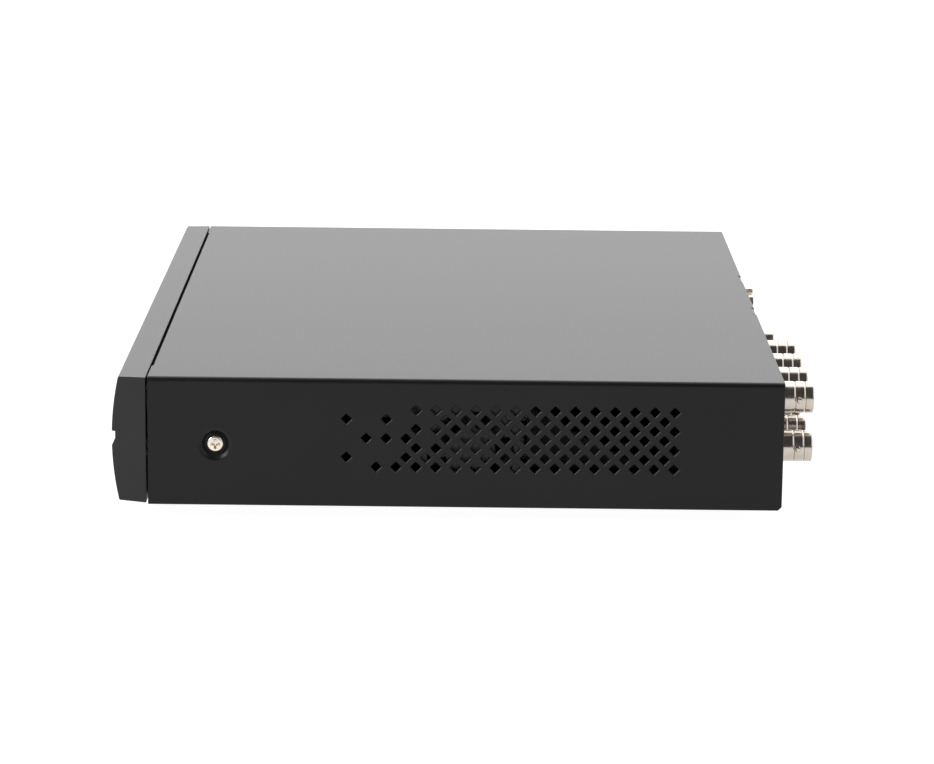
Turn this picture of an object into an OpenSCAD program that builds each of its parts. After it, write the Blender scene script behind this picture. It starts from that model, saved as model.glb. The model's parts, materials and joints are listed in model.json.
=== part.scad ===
// Desktop video recorder with eight camera inputs: folded steel case, plastic front, drive, boards and fan.
// +X is the recorder's right side seen from the front, +Y points to the rear connectors, +Z is up.
// The origin is at the bottom centre of the whole object. All sizes are in millimetres.

/* [Case] */
// Width over the cover's side walls
case_w = 260; // [258:1:266]
// Depth of the steel case, without the plastic front
case_d = 192; // [191:1:198]
// Height of the steel case, without the feet
case_h = 39.5; // [39:0.5:42]
// Thickness of the sheet steel
sheet_t = 1; // [0.8:0.1:1]
// Outer radius of the cover's long bends
bend_r = 1.5; // [1.2:0.1:2]
// Height of the rubber feet
foot_h = 4.5; // [3:0.5:6]
// Distance of the feet from the case sides
foot_inset = 30; // [26:1:34]

/* [Front] */
// Depth of the plastic front
bezel_d = 10.9; // [10.5:0.1:11.5]
// Gap between the plastic front and the cover
bezel_gap = 0.5; // [0.3:0.1:0.8]
// Radius of the bowed front face
face_r = 88; // [85:1:110]
// How much each side of the front narrows towards the face
side_draft = 1.2; // [0.5:0.1:2]
// Wall thickness of the plastic front
bezel_wall = 2; // [1.8:0.1:2.2]

/* [Vents] */
// Side of one square vent hole
vent_size = 2.35; // [1.8:0.05:2.4]
// Step between half columns of vent holes
vent_step = 3; // [2.9:0.05:3.1]
// Step between rows of vent holes
vent_row = 2.95; // [2.8:0.05:3.1]
// Distance of the first vent column from the case front
vent_y = 60; // [56:0.5:64]
// Height of the top vent row above the case bottom
vent_z = 30.1; // [29.5:0.1:31]

/* [Connectors] */
// How far the camera sockets stand out behind the case
bnc_out = 10.1; // [9:0.1:11]
// Spacing of the camera socket columns
bnc_pitch = 20; // [19.6:0.1:20.2]
// Distance of the first socket column from the case side
bnc_inset = 17; // [16.6:0.1:18]
// Radius of a camera socket barrel
bnc_r = 4.83; // [4.8:0.01:4.85]

/* [Hidden] */
$fn = 48;
fit = 0.1;                                       // clearance between parts that touch
case_y = bezel_d - (bezel_d + case_d + bnc_out) / 2;
side_x = case_w / 2;
inner_x = side_x - sheet_t;
flange_x = inner_x - 0.3;                        // outer face of the chassis side flanges
panel_y = case_d - 1;                            // outer face of the rear panel
panel_in = panel_y - sheet_t;
roof_z = case_h - sheet_t;                       // underside of the cover
face_mid = case_h / 2 + 0.4;

// cover screws in their formed recesses
dimple_y = 20.4;
dimple_z = 18.9;
dimple_r = 5;
dimple_floor_r = 3;
dimple_depth = 1.8;
ear_x = [20.5, -35];                             // rear ears of the cover
ear_w = 10;
ear_h = 10.5;
ear_screw_z = roof_z - 5.6;

// sockets on the rear panel
bnc_rows = [16.3, 31.6];
bnc_x = [for (i = [0:3]) side_x - bnc_inset - i * bnc_pitch];
bnc_rim = case_d + bnc_out;
rca_x = 33;
lan_x = 3.5;
video_x = -60;
vga_z = 28.6;
hdmi_z = 12.2;
terminal_x = -35;
dc_x = -91;
dc_z = 14.2;
rocker_x = -112;
rocker_z = 20.5;
earth_x = -93;
earth_z = 29.5;

// main board
board_z = 6;
board_t = 1.6;
board_top = board_z + board_t;
board_x = 122;
board_y0 = 108;
board_y1 = panel_in - 0.6;
board_holes = [[-117, 114], [-20, 114], [103, 114], [-117, 166], [-17, 166], [117, 166]];

// hard disk
hdd_l = 147;
hdd_w = 101.6;
hdd_h = 26.1;
hdd_lid_t = 0.8;
hdd_x = -75;
hdd_y = 4.2;
hdd_z = 4;
hdd_wall = 3;
hdd_end = hdd_x + hdd_l;
spindle = [hdd_x + 51.5, hdd_y + hdd_w / 2];
disk_r = 47.5;
disk_t = 1.3;
disk_z = [hdd_z + 12, hdd_z + 18];
pivot = [hdd_x + 115, hdd_y + 30];
arm_l = 53;
arm_rest = 113;                                  // direction of the parked arm
hdd_holes = [for (u = [hdd_l - 41.3, hdd_l - 85.7], v = [3.2, hdd_w - 3.2]) [hdd_x + u, hdd_y + v]];

// fan behind the right side wall
fan_w = 30;
fan_t = 10;
fan_y = 97.5;
fan_z = 16.4;
fan_x1 = flange_x - sheet_t - fit;
fan_x0 = fan_x1 - fan_t;
fan_bore_r = 13.9;
fan_hub_r = 7.6;
fan_hole = 12;

// front board, indicators and socket
front_box = [76, 125, 3.5, 35];                  // x0, x1, z0, z1
front_y = 3;
front_holes = [for (x = [79, 122], z = [6.5, 32.5]) [x, z]];
led_x = [84, 92, 100];
led_z = 29.5;
eye_x = 112;
usb_x = 100;
usb_z = 10.6;
window = [77, 119, 25.4, 34];
window_t = 1.2;
groove_top = 22.4;
groove_flat = 20.2;
groove_low = 18;
groove_depth = 1.05;
clip_x = [-112, -45, 45, 66];

// routes of the inner cables, x, y, z in case coordinates
data_route = [[79, 28, 8.5], [86, 28, 8.5], [92, 34, 8.5], [93, 46, 9], [92, 66, 9],
              [90, 84, 9.5], [86, 98, 11], [81, 108, 14], [77, 116, 14]];
power_route = [[79, 47, 8.5], [84, 48, 10.5], [90, 53, 14], [96, 62, 17], [99, 75, 19],
               [100, 90, 19], [98, 104, 18.5], [95, 114, 17], [92, 121, 15], [91, 124.5, 14]];
ribbon_route = [[88, 5.4, 20], [88, 10, 20.5], [94, 20, 24], [104, 34, 27], [108, 50, 28], [108, 70, 28],
                [106, 90, 28], [98, 106, 26], [84, 114, 22], [68, 119, 16], [58, 120.5, 12.6]];
fan_route = [[117, 91, 3.5], [113, 93, 5], [110, 97, 7], [107, 105, 10], [103, 116, 13], [99, 125, 14],
             [97, 130, 14]];

// ---------- helpers ----------

// puts children in case coordinates: y from the case front, z from the case bottom
module in_case() translate([0, case_y, foot_h]) children();

// a box from its low to its high corner
module block(low, high) translate(low) cube(high - low);

// a solid of revolution about +Y from points (radius, y)
module turned_y(points) rotate([-90, 0, 0]) mirror([0, 1, 0]) rotate_extrude() polygon(points);

// a cylinder along +Y, +X
module rod_y(r, y0, y1, n = $fn) translate([0, y0, 0]) rotate([-90, 0, 0])
    cylinder(r = r, h = y1 - y0, $fn = n);
module rod_x(r, x0, x1) translate([x0, 0, 0]) rotate([0, 90, 0]) cylinder(r = r, h = x1 - x0);

// a plate in the XZ plane between two y values, from 2D children
module plate_xz(y0, y1) translate([0, y1, 0]) rotate([90, 0, 0]) linear_extrude(y1 - y0) children();

// a plate in the YZ plane between two x values, from 2D children
module plate_yz(x0, x1) translate([x0, 0, 0]) rotate([90, 0, 90]) linear_extrude(x1 - x0) children();

// a rectangle with rounded corners, drawn from squares and circles
module soft_rect(w, h, r) {
    square([w - 2 * r, h], center = true);
    square([w, h - 2 * r], center = true);
    for (x = [-1, 1], y = [-1, 1]) translate([x * (w / 2 - r), y * (h / 2 - r)]) circle(r);
}

// the cross recess of a screw driver, cut downwards from z = 0
module cross_recess(reach, depth) {
    for (a = [0, 90]) rotate(a) translate([0, 0, -depth / 2])
        cube([2 * reach, reach * 0.32, depth], center = true);
}

// a pan head screw: the head stands on z = 0, the shank points down
module pan_screw(head_r, head_h, shank_r, length) {
    difference() {
        union() {
            cylinder(r = head_r, h = head_h * 0.55);
            translate([0, 0, head_h * 0.55]) cylinder(r1 = head_r, r2 = head_r * 0.72, h = head_h * 0.45);
        }
        translate([0, 0, head_h]) cross_recess(head_r * 0.55, head_h * 0.6);
    }
    translate([0, 0, -length]) cylinder(r = shank_r, h = length);
}

// smooth curve through the points of a route
function mid_point(p, i, t) =
    let (a = p[max(i - 1, 0)], b = p[i], c = p[i + 1], d = p[min(i + 2, len(p) - 1)])
    0.5 * ((2 * b) + (c - a) * t + (2 * a - 5 * b + 4 * c - d) * t * t + (3 * b - a - 3 * c + d) * t * t * t);
function smooth_route(p, steps) =
    [for (i = [0:len(p) - 2], s = [0:steps - 1]) mid_point(p, i, s / steps), p[len(p) - 1]];
function unit(v) = v / norm(v);

// a cable of oval section swept along a route: w across, h thick
module cable(route, w, h, steps = 3, sides = 8) {
    path = smooth_route(route, steps);
    n = len(path);
    ring = [for (i = [0:n - 1])
        let (
            along = unit(path[min(i + 1, n - 1)] - path[max(i - 1, 0)]),
            across = unit(cross(along, [0, 0, 1])),
            up = cross(across, along)
        )
        for (k = [0:sides - 1])
            path[i] + across * (w / 2) * cos(360 * k / sides) + up * (h / 2) * sin(360 * k / sides)];
    skin = [for (i = [0:n - 2], k = [0:sides - 1])
        [i * sides + k, i * sides + (k + 1) % sides, (i + 1) * sides + (k + 1) % sides, (i + 1) * sides + k]];
    first = [for (k = [sides - 1:-1:0]) k];
    last = [for (k = [0:sides - 1]) (n - 1) * sides + k];
    polyhedron(points = ring, faces = concat(skin, [first, last]));
}

// ---------- case ----------

// outline of the cover's cross section, open at the bottom
module arch(w, h, r) {
    translate([-w / 2, 0]) square([w, h - r]);
    translate([-w / 2 + r, 0]) square([w - 2 * r, h]);
    for (s = [-1, 1]) translate([s * (w / 2 - r), h - r]) circle(r);
}

// which places of the staggered grid are punched: the field fades out towards the front
function vent_open(col, row) =
    row == 1 ? (col == 0 || col == 4 || (col >= 10 && col % 2 == 0 && col < 33)) :
    row == 3 ? ((col >= 2 && col <= 6 && col % 2 == 0) || (col >= 10 && col % 2 == 0 && col < 33)) :
    row == 5 ? (col == 0 || (col >= 6 && col % 2 == 0 && col < 33)) :
    row == 6 ? (col >= 3 && col % 2 == 1) :
    (col >= 7 && col % 2 == 1);

module vent_field() {
    for (row = [0:6], col = [0:33]) if (vent_open(col, row))
        translate([vent_y + col * vent_step, vent_z - row * vent_row]) rotate(45)
            square(vent_size, center = true);
}

module top_cover() color("dimgray") in_case() {
    relief_x = side_x - 16;
    corner_cut = 1.1;
    difference() {
        union() {
            plate_xz(0, case_d) difference() {
                arch(case_w, case_h, bend_r);
                translate([0, -1]) arch(case_w - 2 * sheet_t, roof_z + 1, bend_r - sheet_t * 0.7);
            }
            for (x = ear_x) {
                block([x - ear_w / 2, case_d - sheet_t, roof_z - ear_h],
                      [x + ear_w / 2, case_d, roof_z + 0.5]);
            }
            for (s = [-1, 1]) translate([s * (side_x - 0.2), dimple_y, dimple_z]) rotate([0, s * -90, 0])
                cylinder(r1 = dimple_r + 0.7, r2 = dimple_floor_r + 1, h = dimple_depth + sheet_t - 0.2);
        }
        for (s = [-1, 1]) translate([s * side_x, dimple_y, dimple_z]) rotate([0, s * -90, 0]) {
            translate([0, 0, -1]) cylinder(r = dimple_r, h = 1);
            cylinder(r1 = dimple_r, r2 = dimple_floor_r, h = dimple_depth);
            cylinder(r = 1.7, h = 6);
        }
        plate_yz(-side_x - 1, side_x + 1) vent_field();
        block([-relief_x, -1, roof_z - 1], [relief_x, 0.5, case_h + 1]);
        for (x = ear_x) translate([x, 0, ear_screw_z]) rod_y(1.7, case_d - 3, case_d + 1);
        translate([0, case_d, 0]) rotate([45, 0, 0])
            cube([case_w + 2, corner_cut * sqrt(2), corner_cut * sqrt(2)], center = true);
    }
}

// the cut-outs of the rear panel, drawn in X and Z
module rear_openings() {
    for (x = bnc_x, z = bnc_rows) translate([x, z]) circle(6.2);
    for (z = bnc_rows) translate([rca_x, z]) circle(4.7);
    translate([lan_x, 21.6]) square([16.4, 28.4], center = true);
    translate([video_x, vga_z]) square([18.6, 10.2], center = true);
    for (s = [-1, 1]) translate([video_x + s * 12.5, vga_z]) circle(3.1);
    translate([video_x, hdmi_z]) square([15.4, 6], center = true);
    translate([terminal_x, 12.1]) square([16.4, 9.4], center = true);
    translate([dc_x, dc_z]) circle(4.2);
    translate([rocker_x, rocker_z]) square([13.2, 19.2], center = true);
    translate([earth_x, earth_z]) circle(1.9);
    for (x = ear_x) translate([x, ear_screw_z]) circle(1.35);
}

module front_openings() {
    translate([usb_x, usb_z]) square([14, 7], center = true);
    for (x = led_x) translate([x, led_z]) circle(2);
    translate([eye_x, led_z - 0.4]) square([6.2, 6.4], center = true);
    for (p = front_holes) translate(p) circle(1.3);
    for (x = clip_x, z = [6, 33]) translate([x, z]) square([7, 2.4], center = true);
    for (x = [-90:30:60]) translate([x, 19]) square([18, 8], center = true);
}

module base_chassis() color("#38383a") in_case() {
    tab_top = 27;
    lip = 10;
    baffle_x = 123;                              // plate that guides the fan's air
    difference() {
        union() {
            block([-flange_x, 1, 0], [flange_x, panel_y, sheet_t]);
            plate_xz(1, 1 + sheet_t) difference() {
                translate([-flange_x + 2, 0]) square([2 * flange_x - 4, case_h - 2]);
                front_openings();
            }
            plate_xz(panel_in, panel_y) difference() {
                translate([-flange_x, 0]) square([2 * flange_x, roof_z - 0.3]);
                rear_openings();
            }
            block([-flange_x + 6, panel_y - 8, roof_z - 1.3], [rca_x + 7, panel_y, roof_z - 0.3]);
            for (s = [-1, 1]) mirror([s < 0 ? 1 : 0, 0, 0]) {
                block([flange_x - sheet_t, 4, 0], [flange_x, case_d - 4, lip]);
                block([flange_x - sheet_t, dimple_y - 9, 0], [flange_x, dimple_y + 9, tab_top]);
                translate([flange_x - 0.01, dimple_y, dimple_z]) rotate([0, -90, 0])
                    cylinder(r = 7.2, h = 2.7);
            }
            block([flange_x - sheet_t, fan_y - 14.8, 0], [flange_x, fan_y + 14.8, roof_z - 2]);
            plate_yz(baffle_x, baffle_x + sheet_t) polygon([
                [fan_y + 17, 0], [fan_y + 17, 30], [fan_y + 52, 12], [fan_y + 52, 0]]);
            for (p = front_holes) translate([p[0], 0, p[1]]) rod_y(3, 1, front_y);
            for (p = hdd_holes) translate([p[0], p[1], 0]) cylinder(r = 6, h = hdd_z - 0.05);
        }
        for (s = [-1, 1]) mirror([s < 0 ? 1 : 0, 0, 0]) translate([0, dimple_y, dimple_z]) {
            rod_x(6.2, flange_x - 1.6, flange_x + 1);
            rod_x(1.45, flange_x - 4, flange_x + 1);
        }
        translate([0, fan_y, fan_z]) {
            rod_x(13.2, flange_x - 2, flange_x + 1);
            fan_corners() rod_x(1.6, flange_x - 2, flange_x + 1);
        }
        for (p = front_holes) translate([p[0], 0, p[1]]) rod_y(1.3, 0, 6);
        for (p = hdd_holes) translate([p[0], p[1], -1]) {
            cylinder(r = 5, h = hdd_z);
            cylinder(r = 1.9, h = hdd_z + 2);
        }
        for (p = foot_places()) translate([p[0], p[1], -1]) cylinder(r = 1.6, h = 3);
        for (x = [-30:12:30], y = [44, 66]) block([x - 1.5, y - 7, -1], [x + 1.5, y + 7, 2]);
    }
}

function foot_places() =
    [for (x = [-1, 1], y = [foot_inset, case_d - foot_inset]) [x * (side_x - foot_inset), y]];

module rubber_feet() color("#1c1c1e") in_case() for (p = foot_places()) translate([p[0], p[1], -foot_h])
    difference() {
        union() {
            cylinder(r1 = 7.2, r2 = 7.8, h = 1);
            translate([0, 0, 1]) cylinder(r = 7.8, h = foot_h - 1);
        }
        translate([0, 0, -1]) cylinder(r = 3.6, h = foot_h - 1);
        cylinder(r = 1.6, h = foot_h + 1);
    }

module foot_screws() color("silver") in_case() for (p = foot_places()) translate([p[0], p[1], -2])
    rotate([180, 0, 0]) pan_screw(2.8, 1.7, 1.45, 4.6);

module side_cover_screws() color("silver") in_case() for (s = [-1, 1])
    translate([s * (side_x - dimple_depth), dimple_y, dimple_z]) rotate([0, s * 90, 0])
        pan_screw(2.5, 1.5, 1.35, 5.5);

module rear_cover_screws() color("silver") in_case() for (x = ear_x)
    translate([x, case_d, ear_screw_z]) rotate([-90, 0, 0]) pan_screw(2.5, 1.7, 1.25, 5);

// ---------- plastic front ----------

// side outline of the front, made smaller by an inset
module bezel_side(inset) intersection() {
    translate([face_r - bezel_d, face_mid]) circle(face_r - inset, $fn = 360);
    polygon([
        [-bezel_d - 1, 1.2 + inset], [-bezel_gap + (inset > 0 ? 1 : 0), 0.4 + inset],
        [-bezel_gap + (inset > 0 ? 1 : 0), case_h - 0.2 - inset], [-bezel_d - 1, case_h - 0.2 - inset]]);
}

module bezel_form(inset) intersection() {
    plate_xz(-bezel_d - 1, 2) translate([0, inset]) arch(case_w, case_h - 0.2 - 2 * inset, 1.2);
    plate_yz(-side_x + inset, side_x - inset) bezel_side(inset);
    translate([0, 0, -1]) linear_extrude(case_h + 2) polygon([
        [-side_x + inset, 1], [-side_x + inset, -bezel_gap], [-side_x + side_draft + inset, -bezel_d - 1],
        [side_x - side_draft - inset, -bezel_d - 1], [side_x - inset, -bezel_gap], [side_x - inset, 1]]);
}

module bezel_clip() {
    block([-2.6, -3, -0.7], [2.6, 3.4, 1]);
    plate_yz(-2.6, 2.6) polygon([[2.1, 0.9], [2.1, 1.8], [3.4, 1], [3.4, 0.9]]);
}

module front_bezel() color("#3c3c3e") in_case() {
    difference() {
        bezel_form(0);
        difference() {
            bezel_form(bezel_wall);
            block([-side_x, -bezel_d, groove_low - 1.6], [side_x, -bezel_d + 4.4, groove_top + 1.4]);
        }
        plate_yz(-side_x - 1, side_x + 1) polygon([
            [-bezel_d - 1, groove_top], [-bezel_d + groove_depth, groove_top],
            [-bezel_d + groove_depth, groove_flat], [-bezel_d, groove_low], [-bezel_d - 1, groove_low]]);
        intersection() {
            block([window[0], -bezel_d - 1, window[2]], [window[1], -2, window[3]]);
            difference() {
                block([window[0], -bezel_d - 1, window[2]], [window[1], -2, window[3]]);
                translate([0, face_r - bezel_d, face_mid])
                    rod_x(face_r - window_t - fit, window[0] - 1, window[1] + 1, $fn = 360);
            }
        }
        for (x = led_x) translate([x, 0, led_z]) rod_y(1.7, -bezel_d, 0);
        translate([eye_x, 0, led_z]) rod_y(3, -bezel_d, 0);
        block([usb_x - 6.7, -bezel_d - 1, usb_z - 3], [usb_x + 6.7, 0, usb_z + 3]);
    }
    for (x = clip_x) {
        translate([x, 0, 33]) bezel_clip();
        translate([x, 0, 6]) mirror([0, 0, 1]) bezel_clip();
        block([x - 2.6, -8, 32.1], [x + 2.6, -2.9, 38]);
        block([x - 2.6, -8, 2], [x + 2.6, -2.9, 6.9]);
    }
}

module indicator_window() color("#151518") in_case() intersection() {
    block([window[0] + fit, -bezel_d - 1, window[2] + fit], [window[1] - fit, -2, window[3] - fit]);
    translate([0, face_r - bezel_d, face_mid]) difference() {
        rod_x(face_r, window[0], window[1], $fn = 360);
        rod_x(face_r - window_t, window[0] - 1, window[1] + 1, $fn = 360);
    }
}

module light_pipes() color("white") in_case() for (x = led_x) translate([x, 0, led_z]) {
    rod_y(1.5, -8.9, 0.2);
    rod_y(1.9, 0.2, 0.9);
}

module front_board() color("#1f5a33") in_case() difference() {
    block([front_box[0], front_y, front_box[2]], [front_box[1], front_y + board_t, front_box[3]]);
    for (p = front_holes) translate([p[0], 0, p[1]]) rod_y(1.5, 2, 6);
}

module front_leds() color("#e8f0e8") in_case() {
    for (x = led_x) translate([x, 0, led_z]) rod_y(1.5, 1.2, front_y);
    translate([eye_x, 0, led_z]) rod_y(2.8, -7.6, -6);
    block([eye_x - 2.7, -6, led_z - 3], [eye_x + 2.7, front_y, led_z + 2.2]);
}

// a receptacle shell of sheet metal, open towards -Y
module usb_shell_form(depth) difference() {
    block([-6.6, 0, -2.85], [6.6, depth, 2.85]);
    block([-6.25, -1, -2.5], [6.25, depth - 1, 2.5]);
}

module front_usb_shell() color("silver") in_case() translate([usb_x, -bezel_d + 0.7, usb_z])
    usb_shell_form(bezel_d + front_y - 0.7);

module front_usb_tongue() color("#f0f0ea") in_case() translate([usb_x, -bezel_d + 1.7, usb_z])
    block([-5.6, 0, 0.3], [5.6, bezel_d + 0.3, 2.2]);

// ---------- main board and what is on it ----------

module main_board() color("#1f5a33") in_case() difference() {
    union() {
        block([-board_x, board_y0, board_z], [112, board_y1, board_top]);
        block([100, fan_y + 20.5, board_z], [board_x, board_y1, board_top]);
    }
    for (p = board_holes) translate([p[0], p[1], 0]) cylinder(r = 1.6, h = 20);
}

module board_standoffs() color("#c9a94f") in_case() for (p = board_holes) translate([p[0], p[1], sheet_t])
    difference() {
        cylinder(r = 3, h = board_z - sheet_t, $fn = 6);
        translate([0, 0, 1]) cylinder(r = 1.35, h = board_z);
    }

module board_screws() color("silver") in_case() {
    for (p = board_holes) translate([p[0], p[1], board_top]) pan_screw(2.7, 1.8, 1.25, 5);
    for (p = front_holes) translate([p[0], front_y + board_t, p[1]]) rotate([-90, 0, 0])
        pan_screw(2.7, 1.8, 1.2, 4);
}

module chip(x, y, w, d, h) translate([x, y, board_top]) {
    translate([0, 0, h / 2 + 0.15]) cube([w, d, h - 0.3], center = true);
    translate([0, 0, 0.2]) cube([w + 1.6, d + 1.6, 0.4], center = true);
}

module processor() color("#202022") in_case() chip(-10, 141, 25, 25, 1.8);

module heatsink() color("#2a2a2c") in_case() translate([-10, 141, board_top + 1.8 + fit / 2]) {
    translate([0, 0, 1.25]) cube([38, 38, 2.5], center = true);
    for (i = [-6:6]) translate([i * 3, 0, 7]) cube([1, 38, 9.2], center = true);
}

module memory_chips() color("#202022") in_case() {
    for (x = [20, 34], y = [133, 149]) chip(x, y, 8.4, 12, 1.2);
}

module video_chips() color("#202022") in_case() for (x = [63, 93]) chip(x, 152, 14, 14, 1.4);

module power_coils() color("#4a4a4c") in_case() for (p = [[-86, 146], [-100, 128], [-72, 160]])
    translate([p[0], p[1], board_top]) {
        linear_extrude(5) soft_rect(11, 11, 2);
        translate([0, 0, 5]) cylinder(r = 4, h = 0.8);
    }

module capacitors() color("#2b3a6b") in_case() {
    for (p = [[-104, 150], [-104, 161], [-68, 134], [-56, 134], [46, 130], [46, 141]])
        translate([p[0], p[1], board_top]) {
            cylinder(r = 3.6, h = 1.2);
            translate([0, 0, 1.2]) cylinder(r = 4, h = 8.8);
        }
}

module battery_holder() color("#151515") in_case() translate([-50, 156, board_top]) difference() {
    cylinder(r = 11.8, h = 4.4);
    translate([0, 0, 1]) cylinder(r = 10.2, h = 5);
    translate([-4, -14, 1]) cube([8, 8, 5]);
}

module coin_battery() color("silver") in_case() translate([-50, 156, board_top + 1 + fit]) {
    cylinder(r = 10, h = 2.6);
    translate([0, 0, 2.6]) cylinder(r = 9.2, h = 0.5);
}

module buzzer() color("#101010") in_case() translate([46, 156, board_top]) difference() {
    cylinder(r = 6, h = 7.5);
    translate([0, 0, 6.5]) cylinder(r = 1.2, h = 2);
}

module header(x, y, w, d, h) translate([x, y, board_top]) difference() {
    translate([-w / 2, -d / 2, 0]) cube([w, d, h]);
    translate([-w / 2 + 1, -d / 2 + 1, 1.4]) cube([w - 2, d - 2, h]);
}

module board_headers() color("#e9e4d4") in_case() {
    header(76, 118, 16, 6.5, 5);
    header(91, 125, 12, 6, 5);
    header(58, 120.5, 14, 6, 4.4);
    header(96, 131, 8, 5, 5);
}

// ---------- rear sockets ----------

module bnc_housing() color("#18181a") in_case() difference() {
    union() {
        block([bnc_x[3] - 9.6, 173, board_top], [bnc_x[0] + 9.4, panel_in - fit, 36.9]);
        for (x = bnc_x, z = bnc_rows) translate([x, 0, z]) rod_y(6, panel_in - 1, panel_y - 0.1);
    }
    for (x = bnc_x, z = bnc_rows) translate([x, 0, z]) rod_y(5.2, 180, case_d);
    for (x = [for (i = [0:2]) bnc_x[i] - bnc_pitch / 2]) block([x - 0.8, 172, 12], [x + 0.8, 184, 40]);
}

// the barrel of one camera socket, with its two bayonet studs
module bnc_shell() {
    line_r = bnc_r - 0.22;
    turned_y([
        [4.05, bnc_rim - 9.6], [3, bnc_rim - 9.6], [3, 182], [5.1, 182], [5.1, panel_y + 0.5],
        [bnc_r, panel_y + 0.9], [bnc_r, bnc_rim - 6], [line_r, bnc_rim - 5.95], [line_r, bnc_rim - 5.6],
        [bnc_r, bnc_rim - 5.55], [bnc_r, bnc_rim - 3.4], [line_r, bnc_rim - 3.3], [line_r, bnc_rim - 2.9],
        [bnc_r, bnc_rim - 2.8], [bnc_r, bnc_rim - 0.25], [bnc_r - 0.25, bnc_rim], [4.3, bnc_rim],
        [4.05, bnc_rim - 0.3]]);
    for (s = [-1, 1]) translate([s * 4.4, bnc_rim - 4.45, 0]) rotate([0, s * 90, 0]) cylinder(r = 1, h = 1.1);
}

module bnc_shells() color("#b9b2a6") in_case() for (x = bnc_x, z = bnc_rows) translate([x, 0, z]) bnc_shell();

module bnc_insulators() color("#f2f1ec") in_case() for (x = bnc_x, z = bnc_rows) translate([x, 0, z])
    turned_y([[1.15, 183], [2.9, 183], [2.9, bnc_rim - 9.7], [2.35, bnc_rim - 9.7],
              [2.35, bnc_rim - 4.9], [1.15, bnc_rim - 4.9]]);

module bnc_contacts() color("#d8b25a") in_case() for (x = bnc_x, z = bnc_rows) translate([x, 0, z])
    difference() {
    rod_y(1.1, 181, bnc_rim - 4.7);
    rod_y(0.68, bnc_rim - 10, bnc_rim - 4);
    block([-1.5, bnc_rim - 8, -0.12], [1.5, bnc_rim - 4, 0.12]);
}

module audio_housing() color("#18181a") in_case() difference() {
    block([rca_x - 5.8, 176, board_top], [rca_x + 5.8, panel_in - fit, 36.6]);
    for (z = bnc_rows) translate([rca_x, 0, z]) rod_y(4.42, 186, case_d);
}

module audio_rings() color("#c4bfb5") in_case() for (z = bnc_rows) translate([rca_x, 0, z])
    turned_y([[3.75, 186.2], [4.32, 186.2], [4.32, case_d], [4.15, case_d], [4.15, case_d + 4.7],
              [4, case_d + 4.9], [3.75, case_d + 4.9]]);

module audio_inserts() color("#b8342c") in_case() for (z = bnc_rows) translate([rca_x, 0, z])
    turned_y([[1.65, 186.2], [3.65, 186.2], [3.65, case_d + 3.2], [1.65, case_d + 3.2]]);

module lan_usb_shell() color("silver") in_case() translate([lan_x, 0, 0]) difference() {
    block([-8, 170, board_top], [8, panel_y + 0.2, 35.6]);
    block([-7.5, 171, board_top + 0.5], [7.5, panel_y + 2, 35.1]);
}

module lan_usb_insert() color("#16161a") in_case() translate([lan_x, 0, 0]) {
    difference() {
        block([-7.4, 172, 8.2], [7.4, panel_y - 0.2, 35]);
        block([-5.9, panel_y - 11, 24.6], [5.9, panel_y + 1, 31.4]);
        block([-3, panel_y - 11, 31], [3, panel_y + 1, 33.2]);
        block([-6.4, panel_y - 9, 9.2], [6.4, panel_y + 1, 14.2]);
        block([-6.4, panel_y - 9, 16.2], [6.4, panel_y + 1, 21.2]);
    }
    for (z = [9.7, 16.7]) block([-5.5, panel_y - 9.2, z + 2.1], [5.5, panel_y - 1.2, z + 3.9]);
}

module video_housing() color("#18181a") in_case() translate([video_x, 0, 0]) difference() {
    block([-15.8, 176, board_top], [15.8, panel_in - 0.9, 36]);
    translate([0, 0, vga_z]) block([-8.3, 180, -4.1], [8.3, panel_y, 4.1]);
    translate([0, 0, hdmi_z]) block([-7.2, 178, -2.5], [7.2, panel_y, 2.5]);
    for (s = [-1, 1]) translate([s * 12.5, 0, vga_z]) rod_y(1.5, 180, panel_y);
}

// the D outline of the monitor socket, w wide and h high, with cut corners
module dee(w, h, c) {
    top = w / 2;
    low = w / 2 - 1.6;
    polygon([[-top, h / 2 - c], [-top + c, h / 2], [top - c, h / 2], [top, h / 2 - c],
             [low, -h / 2 + c], [low - c, -h / 2], [-low + c, -h / 2], [-low, -h / 2 + c]]);
}

module vga_shell() color("#c4bfb5") in_case() translate([video_x, 0, vga_z]) {
    plate_xz(panel_in - 0.8, panel_in - 0.1) difference() {
        soft_rect(30.8, 12.4, 1);
        dee(15.9, 7.4, 0.9);
        for (s = [-1, 1]) translate([s * 12.5, 0]) circle(1.6);
    }
    plate_xz(panel_in - 0.1, panel_y + 6.4) difference() {
        dee(16.9, 8.4, 1.2);
        dee(16.1, 7.6, 1);
    }
}

module vga_insert() color("#1d4fa0") in_case() translate([video_x, 0, vga_z]) difference() {
    plate_xz(panel_in - 2, panel_y + 5.9) dee(15.6, 7.1, 0.9);
    for (row = [-1:1], i = [-2:2])
        translate([i * 2.29 + (row == 0 ? 1.1 : 0) - 0.4, 0, row * 1.98])
            rod_y(0.5, panel_y, panel_y + 7, 16);
}

module vga_nuts() color("#b9b2a6") in_case() for (s = [-1, 1]) translate([video_x + s * 12.5, 0, vga_z]) {
    difference() {
        rod_y(2.85, panel_in, panel_y + 6.2, 6);
        rod_y(1.2, panel_y - 1, panel_y + 7);
    }
    rod_y(1.35, 182, panel_in);
}

module hdmi_outline(w, h, c) polygon([
    [-w / 2, h / 2], [w / 2, h / 2], [w / 2, -h / 2 + c + 0.6], [w / 2 - 0.6, -h / 2 + c],
    [w / 2 - c, -h / 2], [-w / 2 + c, -h / 2], [-w / 2 + 0.6, -h / 2 + c], [-w / 2, -h / 2 + c + 0.6]]);

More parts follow.
